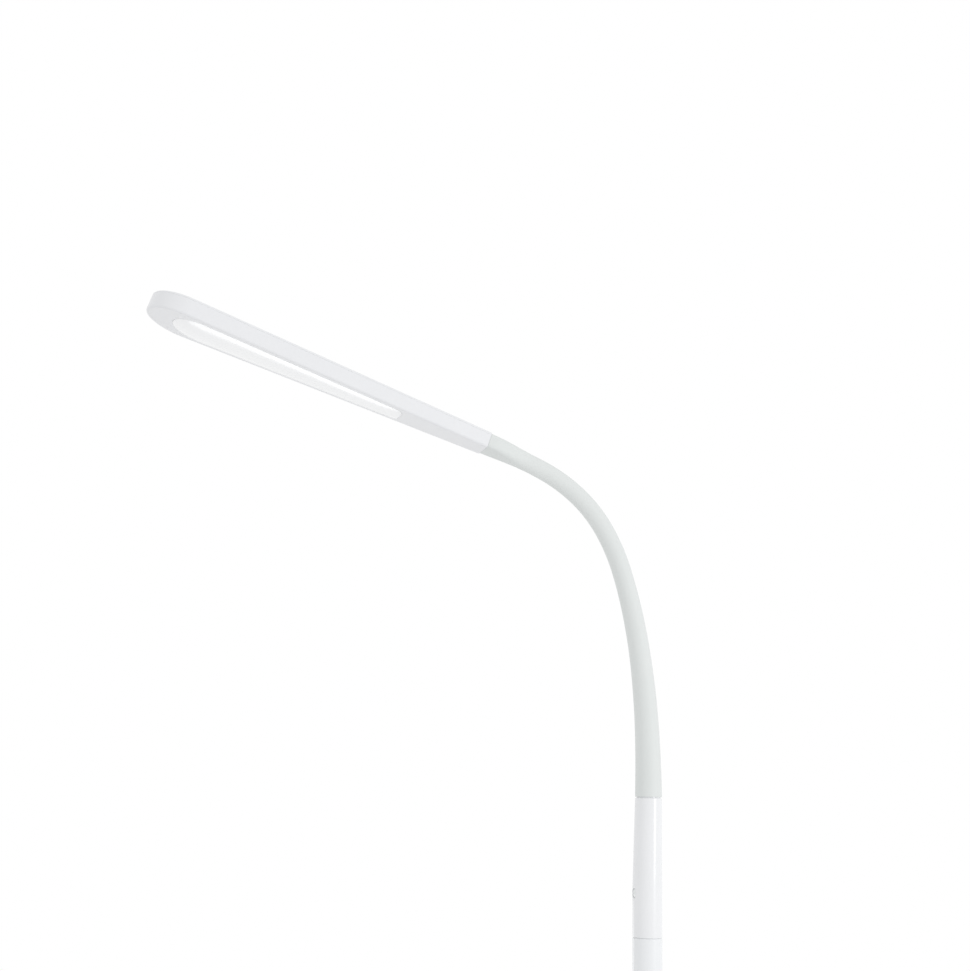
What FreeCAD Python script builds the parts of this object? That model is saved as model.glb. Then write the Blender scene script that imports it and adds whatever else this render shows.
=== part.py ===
import FreeCAD, Part
import math
import os

# Gooseneck reading floor lamp, in millimetres and degrees.
# +Z is up. The origin is on the floor, on the pole's axis. The neck and the head lean towards -Y.
# A long flat head with a recessed diffuser is carried by a bendable neck, a control housing with one
# push button, a three-part pole and a round weighted base.

# ---------------------------------------------------------------- base
BASE_D = 250.0
BASE_H = 24.0
BASE_EDGE_R = 3.5
EDGE_BANDS = 3
COVER_WALL = 1.6
PAD_T = 2.0
PAD_INSET = 6.0
WEIGHT_T = 9.0
WEIGHT_CHAMFER = 0.8
RIB_T = 1.6
RIB_COUNT = 8
CENTRE_BOSS_D = 24.0
SCREW_RING_D = 180.0
BASE_SCREWS = 4
SCREW_BOSS_D = 9.0
SCREW_SHANK_D = 3.4
SCREW_HEAD_FLATS = 6.6
SCREW_HEAD_T = 2.4
SCREW_LENGTH = 16.0

# ---------------------------------------------------------------- stem that clamps the pole to the base
STEM_D = 12.0
STEM_BORE_D = 7.0
STEM_SPIGOT_L = 35.0
WASHER_D = 26.0
WASHER_T = 1.5
NUT_FLATS = 19.0
NUT_T = 4.0
NUT_POCKET_D = 30.0
NUT_POCKET_T = 6.4

# ---------------------------------------------------------------- low-voltage inlet at the rear of the base
JACK_W = 11.0
JACK_L = 13.0
JACK_H = 8.0
JACK_NOSE_D = 7.6
JACK_BORE_D = 5.5
JACK_BORE_L = 10.0
JACK_PIN_D = 2.0
JACK_PIN_SETBACK = 1.0
LEAD_W = 3.0
LEAD_T = 2.0
LEAD_BEND_R = 4.0

# ---------------------------------------------------------------- pole
POLE_D = 24.0
POLE_WALL = 1.2
POLE_SECTION_L = 300.0
POLE_NAMES = ("lower_pole", "middle_pole", "upper_pole")
JOINER_DEPTH = 25.0
JOINER_BORE_D = 9.0

# ---------------------------------------------------------------- control housing
CONTROL_L = 111.0
CONTROL_TAPER_L = 70.0
TAPER_BANDS = 6
CONTROL_BORE_D = 18.6
BUTTON_DROP = 76.5
BUTTON_D = 7.4
BUTTON_PROUD = 0.5
BUTTON_DOME_R = 14.0
BUTTON_FLANGE_D = 9.2
BUTTON_FLANGE_T = 1.2
BUTTON_TRAVEL = 0.6
PLUNGER_D = 3.0
DISH_R = 16.0
DISH_DEPTH = 1.1
BOARD_T = 1.6
BOARD_W = 17.0
BOARD_SETBACK = 2.0
SWITCH_W = 6.0
SWITCH_T = 4.0
SWITCH_HOLE_L = 2.6
DOME_T = 0.8
CONNECTOR_W = 6.0
CONNECTOR_L = 5.5
COIL_D = 8.0
COIL_BORE_D = 3.0
COIL_T = 5.0
CAPACITOR_D = 6.0
CAPACITOR_L = 10.0
CHIP_W = 5.0
CHIP_L = 6.0
CHIP_T = 1.2
PARTS_PITCH = 2.0

# ---------------------------------------------------------------- neck
NECK_L = 352.0
NECK_ROOT_D = 22.0
NECK_THIRD_D = 17.6
NECK_MID_D = 16.2
NECK_SLIM_D = 15.3
FLARE_L = 42.0
FLARE_SHARPNESS = 5.0
STIFF_ROOT_L = 40.0
STIFF_TIP_L = 52.0
REST_TURNS = (2.0, 3.0, 3.5, 4.5, 5.5, 13.5, 18.5, 15.6, 5.6)
CORE_D = 9.6
BALL_D = 7.0
BALL_BELT_ANGLE = 20.0
BALL_MOUTH_ANGLE = 50.0
ROOT_SHAFT_D = 8.6
LINK_SHAFT_D = 5.4
LINK_BORE_D = 3.0
CUP_D = 9.2
CUP_L = 5.6
CUP_RIM_DROP = 0.5
CUP_SLOPE_ANGLE = 40.0
CUP_FLANK_L = 0.8
TIP_SHAFT_L = 13.0
RING_SIDES = 16
CORE_ROOM = 1.3
BALL_MOUTH_D = 4.0
NECK_LEAD_W = 2.4
NECK_LEAD_T = 1.2
NECK_PLUG_L = 14.0
NECK_PLUG_BORE_D = 6.0
STUB_SEAT_L = 3.0
SECTION_POINTS = 24
TAPER_STATIONS = 16
FLARE_STATIONS = 6

# ---------------------------------------------------------------- head
HEAD_L = 295.0
HEAD_TIP_R = 31.0
HEAD_T = 15.6
FERRULE_W = 28.0
FERRULE_T = 13.6
HEAD_WALL = 1.8
HEAD_FLOOR = 2.0
HEAD_EDGE_R = 2.0
COVER_T = 2.0
COVER_LIP_T = 1.2
COVER_LIP_L = 1.4
WINDOW_TIP_GAP = 22.5
WINDOW_TIP_R = 20.0
WINDOW_FERRULE_GAP = 67.0
WINDOW_END_W = 18.0
WINDOW_CORNER_R = 7.0
WINDOW_BEVEL = 0.5
DIFFUSER_FLANGE_T = 1.5
DIFFUSER_CROWN_R = 125.0
STACK_RIM = 3.0
REFLECTOR_RIM_T = 1.4
REFLECTOR_H = 4.0
LED_BOARD_T = 1.2
LED_TAB_L = 16.0
LED_TAB_W = 12.0
SPREADER_T = 1.5
LED_COUNT = 20
LED_W = 3.0
LED_L = 3.6
LED_H = 0.8
POST_D = 6.0
POST_COUNT = 4
TONGUE_W = 16.0
TONGUE_T = 6.0
TONGUE_BORE_D = 4.0
TONGUE_NECK_W = 7.0
TONGUE_L = 30.0
TONGUE_SCREW_D = 2.6
TONGUE_SCREW_FLATS = 4.0
TONGUE_SCREW_HEAD_T = 1.6
TONGUE_BOSS_D = 6.4
TONGUE_SCREW_REACH = 21.0
TONGUE_PILOT_SKIN = 1.2
POST_PILOT_L = 2.6
TIP_OVERLAP_L = 0.6

# ---------------------------------------------------------------- clearances
FIT = 0.1
RUN = 0.3
BALL_GAP = 0.15
NEAR = 0.01

# ---------------------------------------------------------------- places worked out from the sizes
POLE_R = POLE_D / 2
POLE_BORE_D = POLE_D - 2 * POLE_WALL
NECK_Y = (POLE_D - NECK_ROOT_D) / 2
POLE_TOP_Z = BASE_H + POLE_SECTION_L * len(POLE_NAMES)
NECK_Z = POLE_TOP_Z + CONTROL_L
BUTTON_Z = NECK_Z - BUTTON_DROP
WEIGHT_TOP_Z = PAD_T + WEIGHT_T
JACK_Z = WEIGHT_TOP_Z + JACK_H / 2
BOARD_FACE_Y = NECK_Y + BOARD_SETBACK
SPAN_L = (NECK_L - STIFF_ROOT_L - STIFF_TIP_L) / (len(REST_TURNS) - 2)
SPANS = (STIFF_ROOT_L,) + (SPAN_L,) * (len(REST_TURNS) - 2) + (STIFF_TIP_L,)
SLEEVE_BORE_D = CUP_D + 2 * CORE_ROOM
HEAD_UNDER_Y = -FERRULE_T / 2
WINDOW_TIP_Z = HEAD_L - WINDOW_TIP_GAP - WINDOW_TIP_R
FLOOR_TOP_Y = HEAD_UNDER_Y + HEAD_FLOOR
REFLECTOR_Y = FLOOR_TOP_Y + DIFFUSER_FLANGE_T
LED_BOARD_Y = REFLECTOR_Y + REFLECTOR_H
SPREADER_Y = LED_BOARD_Y + LED_BOARD_T
POST_FOOT_Y = SPREADER_Y + SPREADER_T

X = FreeCAD.Vector(1, 0, 0)
Y = FreeCAD.Vector(0, 1, 0)
Z = FreeCAD.Vector(0, 0, 1)


def at(x, y, z):
    """A point."""
    return FreeCAD.Vector(x, y, z)


def rod(diameter, length, foot, direction=Z):
    """A round bar from its foot along a direction."""
    return Part.makeCylinder(diameter / 2, length, foot, direction)


def block(width, depth, height, x, y, z):
    """A box centred on x, from y and z upwards."""
    return Part.makeBox(width, depth, height, at(x - width / 2, y, z))


def turned(profile):
    """A solid turned round the Z axis from its half profile of (radius, height) points."""
    points = [at(r, 0, z) for r, z in profile]
    face = Part.Face(Part.makePolygon(points + points[:1]))
    return face.revolve(at(0, 0, 0), Z, 360)


def ringed(profile):
    """A solid through rings round the Z axis, given as (radius, height), with flat sides to keep it light."""
    rings = [[corner + at(0, 0, z) for corner in polar(radius, RING_SIDES, 0)] for radius, z in profile]
    outlines = [rings[0][::-1], rings[-1]]
    for low, high in zip(rings, rings[1:]):
        for i in range(RING_SIDES):
            outlines.append([low[i - 1], low[i], high[i], high[i - 1]])
    faces = [Part.Face(Part.makePolygon(outline + outline[:1])) for outline in outlines]
    return Part.makeSolid(Part.makeShell(faces))


def hexagon(flats, length, foot, direction=Z):
    """A hexagonal bar from its foot along a direction."""
    corners = polar(flats / math.sqrt(3), 6, 0)
    bar = Part.Face(Part.makePolygon(corners + corners[:1])).extrude(at(0, 0, length))
    bar.Placement = FreeCAD.Placement(foot, FreeCAD.Rotation(Z, direction))
    return bar


def flat_lead(points, width, thickness):
    """A flat two-core lead in the plane x = 0, mitred where its run turns."""
    run = points[1] - points[0]
    corners = [
        at(-width / 2, -thickness / 2, 0),
        at(width / 2, -thickness / 2, 0),
        at(width / 2, thickness / 2, 0),
        at(-width / 2, thickness / 2, 0),
    ]
    section = Part.makePolygon(corners + corners[:1])
    section.Placement = FreeCAD.Placement(points[0], FreeCAD.Rotation(Z, run))
    return Part.Wire(Part.makePolygon(points)).makePipeShell([section], True, False, 1)


def polar(radius, count, first_angle):
    """Points evenly spaced on a circle round the Z axis."""
    angles = [math.radians(first_angle + 360.0 * i / count) for i in range(count)]
    return [at(radius * math.cos(a), radius * math.sin(a), 0) for a in angles]


def save(name, shape):
    """Writes one named piece."""
    os.makedirs("parts", exist_ok=True)
    shape.exportStep("parts/" + name + ".step")


# ================================================================ base
def screw_places():
    """Axes of the screws that hold the cover to the weight."""
    return polar(SCREW_RING_D / 2, BASE_SCREWS, 45)


def cover_skin(inset, top_z, edge_r, bands):
    """The base's outer form, or its hollow: a turned disc whose top edge is rounded in bands."""
    radius = BASE_D / 2 - inset
    profile = [(0, PAD_T), (radius, PAD_T)]
    for i in range(bands + 1):
        a = math.pi / 2 * i / bands
        profile.append((radius - edge_r * (1 - math.cos(a)), top_z - edge_r * (1 - math.sin(a))))
    return turned(profile + [(0, top_z)])


def base_cover():
    """Moulded cover: a shell with radial ribs, screw bosses and a centre boss that stand on the weight."""
    hollow = cover_skin(COVER_WALL, BASE_H - COVER_WALL, BASE_EDGE_R - COVER_WALL, 1)
    shell = cover_skin(0, BASE_H, BASE_EDGE_R, EDGE_BANDS).cut(hollow)
    room_h = BASE_H - WEIGHT_TOP_Z
    rib = block(RIB_T, BASE_D / 2, room_h, 0, 0, WEIGHT_TOP_Z)
    inside = [rod(CENTRE_BOSS_D, room_h, at(0, 0, WEIGHT_TOP_Z))]
    for i in range(RIB_COUNT):
        spoke = rib.copy()
        spoke.rotate(at(0, 0, 0), Z, 360.0 * (i + 0.5) / RIB_COUNT)
        inside.append(spoke)
    for place in screw_places():
        inside.append(rod(SCREW_BOSS_D, room_h, place + at(0, 0, WEIGHT_TOP_Z)))
    inner = inside[0].multiFuse(inside[1:]).common(hollow)
    cover = shell.fuse(inner)
    lead_slot = block(LEAD_W + 2 * RUN, CENTRE_BOSS_D, LEAD_T * 2 + LEAD_BEND_R, 0, 0, JACK_Z - LEAD_T)
    nose_hole = rod(JACK_NOSE_D + 2 * FIT, BASE_D, at(0, 0, JACK_Z), Y).common(jack_wall_zone())
    cuts = [rod(STEM_D + 2 * FIT, BASE_H, at(0, 0, 0)), lead_slot.common(hollow), nose_hole]
    for place in screw_places():
        cuts.append(rod(SCREW_SHANK_D + FIT, SCREW_LENGTH, place + at(0, 0, PAD_T)))
    return cover.cut(cuts[0].multiFuse(cuts[1:])).removeSplitter()


def jack_wall_zone():
    """The stretch of the skirt that the inlet's nose passes through."""
    return block(JACK_W, 2 * COVER_WALL, BASE_H, 0, BASE_D / 2 - 2 * COVER_WALL, 0)


def base_weight():
    """Cast-iron disc with countersunk screw holes and a pocket for the nut."""
    disc_d = BASE_D - 2 * COVER_WALL - 2 * RUN
    disc = rod(disc_d, WEIGHT_T, at(0, 0, PAD_T))
    top_rim = [e for e in disc.Edges if len(e.Vertexes) == 1 and e.BoundBox.ZMin > PAD_T + WEIGHT_T / 2]
    disc = disc.makeChamfer(WEIGHT_CHAMFER, top_rim)
    cuts = [rod(STEM_D + 2 * FIT, BASE_H, at(0, 0, 0)), rod(NUT_POCKET_D, NUT_POCKET_T, at(0, 0, PAD_T))]
    for place in screw_places():
        cuts.append(rod(SCREW_SHANK_D + 2 * RUN, BASE_H, place))
        cuts.append(rod(SCREW_HEAD_FLATS * 2 / math.sqrt(3) + 2 * RUN, SCREW_HEAD_T, place + at(0, 0, PAD_T)))
    return disc.cut(cuts[0].multiFuse(cuts[1:]))


def base_pad():
    """Non-slip foam disc under the weight."""
    return rod(BASE_D - 2 * PAD_INSET, PAD_T, at(0, 0, 0))


def base_screws():
    """Hexagon-head screws driven up through the weight into the cover's bosses."""
    screws = []
    for place in screw_places():
        foot = place + at(0, 0, PAD_T)
        head = hexagon(SCREW_HEAD_FLATS, SCREW_HEAD_T, foot)
        screws.append(head.fuse(rod(SCREW_SHANK_D, SCREW_LENGTH - RUN, foot)))
    return Part.makeCompound(screws)


def base_stem():
    """Steel stem: a threaded shank through the base and a spigot inside the lowest pole tube."""
    shank_z = PAD_T + FIT
    spigot_d = POLE_BORE_D - 2 * FIT
    shank = rod(STEM_D, BASE_H - shank_z, at(0, 0, shank_z))
    stem = shank.fuse(rod(spigot_d, STEM_SPIGOT_L, at(0, 0, BASE_H)))
    side_hole = rod(STEM_BORE_D - 2 * RUN, STEM_D, at(0, 0, JACK_Z), Y)
    bore = rod(STEM_BORE_D, BASE_H + STEM_SPIGOT_L, at(0, 0, JACK_Z - LEAD_W))
    return stem.cut(side_hole.fuse(bore))


def stem_washer():
    """Washer between the nut and the weight."""
    z = PAD_T + NUT_POCKET_T - WASHER_T
    return rod(WASHER_D, WASHER_T, at(0, 0, z)).cut(rod(STEM_D + 2 * FIT, WASHER_T, at(0, 0, z)))


def stem_nut():
    """Hexagon nut that clamps cover and weight to the stem."""
    z = PAD_T + NUT_POCKET_T - WASHER_T - NUT_T
    return hexagon(NUT_FLATS, NUT_T, at(0, 0, z)).cut(rod(STEM_D + 2 * FIT, NUT_T, at(0, 0, z)))


def power_jack():
    """Low-voltage barrel inlet with its bore and centre pin, standing on the weight behind the skirt."""
    back_y = BASE_D / 2 - COVER_WALL - RUN - JACK_L
    body = block(JACK_W, JACK_L, JACK_H, 0, back_y, WEIGHT_TOP_Z)
    nose_l = BASE_D / 2 - back_y
    jack = body.fuse(rod(JACK_NOSE_D, nose_l, at(0, back_y, JACK_Z), Y))
    bore = rod(JACK_BORE_D, JACK_BORE_L, at(0, BASE_D / 2 - JACK_BORE_L, JACK_Z), Y)
    pin = rod(JACK_PIN_D, JACK_BORE_L - JACK_PIN_SETBACK, at(0, BASE_D / 2 - JACK_BORE_L, JACK_Z), Y)
    return jack.cut(bore).fuse(pin)


def power_lead():
    """Two-core lead from the inlet, round a bend into the stem and up the pole to the control board."""
    start = at(0, BASE_D / 2 - COVER_WALL - RUN - JACK_L, JACK_Z)
    turn_in = at(0, LEAD_BEND_R, JACK_Z)
    turn_out = at(0, 0, JACK_Z + LEAD_BEND_R)
    end = at(0, 0, POLE_TOP_Z + JOINER_DEPTH)
    return flat_lead([start, turn_in, turn_out, end], LEAD_W, LEAD_T)


# ================================================================ pole
def pole_tube(z):
    """One steel tube of the pole."""
    return rod(POLE_D, POLE_SECTION_L, at(0, 0, z)).cut(rod(POLE_BORE_D, POLE_SECTION_L, at(0, 0, z)))


def pole_joiner(z):
    """Plug inside two tubes that meet at this height, bored for the lead."""
    foot = at(0, 0, z - JOINER_DEPTH)
    return rod(POLE_BORE_D - 2 * FIT, 2 * JOINER_DEPTH, foot).cut(rod(JOINER_BORE_D, 2 * JOINER_DEPTH, foot))


# ================================================================ control housing
def control_form():
    """Outer form: a cylinder as thick as the pole, then a slight taper whose rear line stays straight."""
    straight_l = CONTROL_L - CONTROL_TAPER_L
    straight = rod(POLE_D, straight_l, at(0, 0, POLE_TOP_Z))
    rings = []
    for i in range(TAPER_BANDS + 1):
        share = i / TAPER_BANDS
        centre = at(0, NECK_Y * share, POLE_TOP_Z + straight_l + CONTROL_TAPER_L * share)
        radius = POLE_R + (NECK_ROOT_D / 2 - POLE_R) * share
        rings.append(Part.Wire(Part.makeCircle(radius, centre, Z)))
    return straight.fuse(Part.makeLoft(rings, True, True))


def control_housing():
    """Glossy housing with a bore for the board, a socket for the pole's plug and a dished button hole."""
    socket = rod(POLE_BORE_D, JOINER_DEPTH, at(0, 0, POLE_TOP_Z))
    bore = rod(CONTROL_BORE_D, CONTROL_L, at(0, NECK_Y, POLE_TOP_Z))
    button_hole = rod(BUTTON_D + 2 * RUN, POLE_R, at(0, -POLE_R, BUTTON_Z), Y)
    dish = Part.makeSphere(DISH_R, at(0, -POLE_R - DISH_R + DISH_DEPTH, BUTTON_Z))
    return control_form().cut(socket.multiFuse([bore, button_hole, dish]))


def control_button():
    """Push button: a domed cap with a flange behind the wall and a plunger that reaches the switch."""
    face_y = -POLE_R + DISH_DEPTH - BUTTON_PROUD
    flange_y = -math.sqrt((CONTROL_BORE_D / 2) ** 2 - (BUTTON_FLANGE_D / 2) ** 2) + NECK_Y + RUN
    cap = rod(BUTTON_D, flange_y - face_y, at(0, face_y, BUTTON_Z), Y)
    dome = Part.makeSphere(BUTTON_DOME_R, at(0, face_y + BUTTON_DOME_R, BUTTON_Z))
    flange = rod(BUTTON_FLANGE_D, BUTTON_FLANGE_T, at(0, flange_y, BUTTON_Z), Y)
    plunger = rod(PLUNGER_D, stem_front_y() - flange_y, at(0, flange_y, BUTTON_Z), Y)
    return cap.common(dome).fuse(flange).fuse(plunger)


def stem_front_y():
    """Where the button's plunger meets the switch's stem."""
    return BOARD_FACE_Y - SWITCH_T - BUTTON_TRAVEL - RUN


def switch_body():
    """Tactile switch on the board, with the hole that its stem slides in."""
    body = block(SWITCH_W, SWITCH_T, SWITCH_W, 0, BOARD_FACE_Y - SWITCH_T, BUTTON_Z - SWITCH_W / 2)
    return body.cut(rod(PLUNGER_D + 2 * RUN, SWITCH_HOLE_L, at(0, BOARD_FACE_Y - SWITCH_T, BUTTON_Z), Y))


def switch_stem():
    """The switch's stem, which moves with the button."""
    back_y = BOARD_FACE_Y - SWITCH_T + SWITCH_HOLE_L - DOME_T
    return rod(PLUNGER_D, back_y - stem_front_y(), at(0, stem_front_y(), BUTTON_Z), Y)


def switch_dome():
    """Snap dome behind the stem, which returns the button."""
    back_y = BOARD_FACE_Y - SWITCH_T + SWITCH_HOLE_L
    radius = PLUNGER_D / 2
    return Part.makeCone(radius, radius / 2, DOME_T, at(0, back_y, BUTTON_Z), -Y)


def control_board():
    """Circuit board that stands on the pole's plug, in the housing's bore."""
    foot_z = POLE_TOP_Z + JOINER_DEPTH
    return block(BOARD_W, BOARD_T, CONTROL_L - JOINER_DEPTH - NECK_PLUG_L - RUN, 0, BOARD_FACE_Y, foot_z)


def control_parts():
    """The driver's coil, capacitor and chip on the board's front."""
    coil_z = BUTTON_Z + SWITCH_W / 2 + PARTS_PITCH + COIL_D / 2
    capacitor_z = coil_z + COIL_D / 2 + PARTS_PITCH
    chip_z = capacitor_z + CAPACITOR_L + PARTS_PITCH
    foot = at(0, BOARD_FACE_Y, coil_z)
    coil = rod(COIL_D, COIL_T, foot, -Y).cut(rod(COIL_BORE_D, COIL_T, foot, -Y))
    capacitor = rod(CAPACITOR_D, CAPACITOR_L, at(0, BOARD_FACE_Y - CAPACITOR_D / 2, capacitor_z))
    chip = block(CHIP_W, CHIP_T, CHIP_L, 0, BOARD_FACE_Y - CHIP_T, chip_z)
    return Part.makeCompound([coil, capacitor, chip])


def board_connectors():
    """Sockets for the pole's lead, at the board's foot, and for the neck's lead, at its top."""
    foot_z = POLE_TOP_Z + JOINER_DEPTH
    low = block(CONNECTOR_W, BOARD_FACE_Y + LEAD_W, CONNECTOR_L, 0, -LEAD_W, foot_z)
    depth = BOARD_FACE_Y - NECK_Y + NECK_LEAD_W
    high = block(CONNECTOR_W, depth, CONNECTOR_L, 0, NECK_Y - NECK_LEAD_W, neck_lead_foot_z() - CONNECTOR_L)
    return Part.makeCompound([low, high])


def neck_lead_foot_z():
    """Where the neck's lead enters its socket on the board."""
    return NECK_Z - NECK_PLUG_L - 2 * CONNECTOR_L


# ================================================================ neck
def bend(length, turn):
    """Placement at the end of an arc that starts along +Z and turns towards -Y."""
    angle = math.radians(turn)
    radius = length / angle
    end = at(0, -radius * (1 - math.cos(angle)), radius * math.sin(angle))
    return FreeCAD.Placement(end, FreeCAD.Rotation(X, turn))


def span_starts():
    """Placements at the start of each span of the neck, and at the neck's end."""
    places = [FreeCAD.Placement(at(0, NECK_Y, NECK_Z), FreeCAD.Rotation())]
    for length, turn in zip(SPANS, REST_TURNS):
        places.append(places[-1].multiply(bend(length, turn)))
    return places


def along_neck(s):
    """Placement on the neck's centre line, s from its foot."""
    places = span_starts()
    for place, length, turn in zip(places, SPANS, REST_TURNS):
        if s <= length:
            return place.multiply(bend(s, turn * s / length)) if s > 0 else place
        s -= length
    return places[-1]


def chord(i):
    """Placement at the start of span i, with +Z towards its end, and the straight length between the two."""
    places = span_starts()
    run = places[i + 1].Base - places[i].Base
    return FreeCAD.Placement(places[i].Base, FreeCAD.Rotation(Z, run)), run.Length


def placed(i, shape):
    """A shape made along +Z, moved to the straight line of span i."""
    shape.Placement = chord(i)[0].multiply(shape.Placement)
    return shape


def ball_corner(angle):
    """Radius and height of the point on the ball at this angle above its centre."""
    angle = math.radians(angle)
    return BALL_D / 2 * math.cos(angle), BALL_D / 2 * math.sin(angle)


def ball_rings():
    """Outer circles of a link's ball, mouth to shaft: a barrel whose corners lie on the ball."""
    shaft_r = LINK_SHAFT_D / 2
    shaft_z = math.sqrt((BALL_D / 2) ** 2 - shaft_r ** 2)
    corners = [ball_corner(a) for a in (-BALL_MOUTH_ANGLE, -BALL_BELT_ANGLE, BALL_BELT_ANGLE)]
    return corners + [(shaft_r, shaft_z)]


def ball_mouth():
    """Inner circles of a link's ball: a mouth that narrows to the bore at the ball's centre."""
    return [(BALL_MOUTH_D / 2, ball_corner(-BALL_MOUTH_ANGLE)[1]), (LINK_BORE_D / 2, 0)]


def cup_rings(length, shaft_r):
    """Outer circles of the cup that holds the next ball, from its shaft to its rim."""
    rim_z = length - CUP_RIM_DROP
    flank_z = rim_z - CUP_L
    return [(shaft_r, flank_z - CUP_FLANK_L), (CUP_D / 2, flank_z), (CUP_D / 2, rim_z)]


def cup_room(length):
    """Inner circles of the cup: the bore opens into the room for the next ball."""
    room = (BALL_D / 2 + BALL_GAP) / math.cos(math.radians(BALL_BELT_ANGLE))
    slope = math.radians(CUP_SLOPE_ANGLE)
    rim_z = length - CUP_RIM_DROP
    return [
        (LINK_BORE_D / 2, length - room),
        (room * math.cos(slope), length - room * math.sin(slope)),
        (room, rim_z - CUP_RIM_DROP),
        (room, rim_z),
    ]


def neck_link(i):
    """One link of the neck's core: a ball, a thin bored shaft and a cup, turned in one piece."""
    length = chord(i)[1]
    link = ringed(ball_rings() + cup_rings(length, LINK_SHAFT_D / 2))
    return placed(i, link.cut(ringed(ball_mouth() + cup_room(length))))


def neck_root():
    """Plug in the control housing that carries the first cup, with the stiff foot of the neck."""
    length = chord(0)[1]
    shaft_r = ROOT_SHAFT_D / 2
    stub = ringed([(shaft_r, -STUB_SEAT_L)] + cup_rings(length, shaft_r))
    stub = placed(0, stub.cut(ringed([(LINK_BORE_D / 2, -STUB_SEAT_L)] + cup_room(length))))
    plug_foot = at(0, NECK_Y, NECK_Z - NECK_PLUG_L)
    plug = rod(CONTROL_BORE_D - 2 * FIT, NECK_PLUG_L, plug_foot)
    return plug.cut(rod(NECK_PLUG_BORE_D, NECK_PLUG_L, plug_foot)).fuse(stub)


def sleeve_half_axes(s):
    """Half width, half thickness and squareness of the sleeve, s from its foot."""
    flare_start = NECK_L - FLARE_L
    stations = [
        (0.0, NECK_ROOT_D),
        (NECK_L / 3, NECK_THIRD_D),
        (NECK_L / 2, NECK_MID_D),
        (flare_start, NECK_SLIM_D),
    ]
    if s >= flare_start:
        share = smooth((s - flare_start) / FLARE_L)
        half = NECK_SLIM_D / 2
        wide = half + (FERRULE_W / 2 - half) * share
        thick = half + (FERRULE_T / 2 - half) * share
        return wide, thick, 2 + (FLARE_SHARPNESS - 2) * share
    for (s0, d0), (s1, d1) in zip(stations, stations[1:]):
        if s <= s1:
            radius = (d0 + (d1 - d0) * (s - s0) / (s1 - s0)) / 2
            return radius, radius, 2.0
    return NECK_SLIM_D / 2, NECK_SLIM_D / 2, 2.0


def smooth(t):
    """A share that starts and ends level."""
    return t * t * (3 - 2 * t)


def bore_section(s):
    """Circle of the sleeve's bore across the neck."""
    wire = Part.Wire(Part.makeCircle(SLEEVE_BORE_D / 2, at(0, 0, 0), Z))
    wire.Placement = along_neck(s)
    return wire


def sleeve_section(s):
    """Closed outline of the sleeve across the neck, between a circle and a rounded rectangle."""
    wide, thick, power = sleeve_half_axes(s)
    ring = []
    for i in range(SECTION_POINTS):
        c = math.cos(2 * math.pi * i / SECTION_POINTS)
        k = math.sin(2 * math.pi * i / SECTION_POINTS)
        x = math.copysign(wide * abs(c) ** (2 / power), c)
        y = math.copysign(thick * abs(k) ** (2 / power), k)
        ring.append(at(x, y, 0))
    curve = Part.BSplineCurve()
    curve.interpolate(Points=ring, PeriodicFlag=True)
    wire = Part.Wire(curve.toShape())
    wire.Placement = along_neck(s)
    return wire


def neck_sleeve():
    """Moulded silicone sleeve: it tapers from the housing and flares into the head's flat ferrule."""
    flare_start = NECK_L - FLARE_L
    stations = [flare_start * i / TAPER_STATIONS for i in range(TAPER_STATIONS + 1)]
    stations += [flare_start + FLARE_L * (i + 1) / FLARE_STATIONS for i in range(FLARE_STATIONS)]
    skin = Part.makeLoft([sleeve_section(s) for s in stations], True, True)
    return skin.cut(Part.makeLoft([bore_section(s) for s in stations], True, True))


def neck_lead():
    """Flat two-core lead from the control board through the neck's links to the head's board."""
    route = [at(0, NECK_Y, neck_lead_foot_z())]
    route += [place.Base for place in span_starts()]
    route.append(span_starts()[-1].multVec(at(0, 0, WINDOW_FERRULE_GAP - STACK_RIM - LED_TAB_L)))
    return flat_lead(route, NECK_LEAD_W, NECK_LEAD_T)


def neck_tip():
    """End of the core: the last ball, a plug through the flare and a tongue screwed into the head."""
    last = len(SPANS) - 1
    length = chord(last)[1]
    end_z = length - RUN
    plug_z = TIP_SHAFT_L + CUP_FLANK_L
    plug = [(LINK_SHAFT_D / 2, TIP_SHAFT_L), (CORE_D / 2, plug_z), (CORE_D / 2, end_z)]
    bore = ringed(ball_mouth() + [(LINK_BORE_D / 2, end_z)])
    core = placed(last, ringed(ball_rings() + plug).cut(bore))
    root_z = HEAD_WALL + FIT
    tongue = block(TONGUE_W, TONGUE_T, TONGUE_L, 0, -TONGUE_T / 2, root_z)
    foot_z = -RUN - TIP_OVERLAP_L
    waist = block(TONGUE_NECK_W, TONGUE_T, root_z - foot_z, 0, -TONGUE_T / 2, foot_z)
    holes = [rod(TONGUE_BORE_D, TONGUE_L * 2, at(0, 0, foot_z))]
    for p in tongue_screw_places():
        holes.append(rod(TONGUE_SCREW_D + 2 * RUN, TONGUE_T, at(p.x, -TONGUE_T / 2, p.z), Y))
    tongue = tongue.fuse(waist).cut(holes[0].multiFuse(holes[1:]))
    return core.fuse(in_head(tongue))


# ================================================================ head, along +Z, underside towards -Y
def in_head(shape):
    """A shape of the head, moved to its place at the neck's end."""
    shape.Placement = span_starts()[-1].multiply(shape.Placement)
    return shape


def taper_angle(end_half, end_z, tip_r, tip_z):
    """Angle of the normal of a side line that starts at (end_half, end_z) and is tangent to the round tip."""
    dx = end_half
    dz = end_z - tip_z
    return math.atan2(dz, dx) + math.acos(tip_r / math.hypot(dx, dz))


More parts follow.
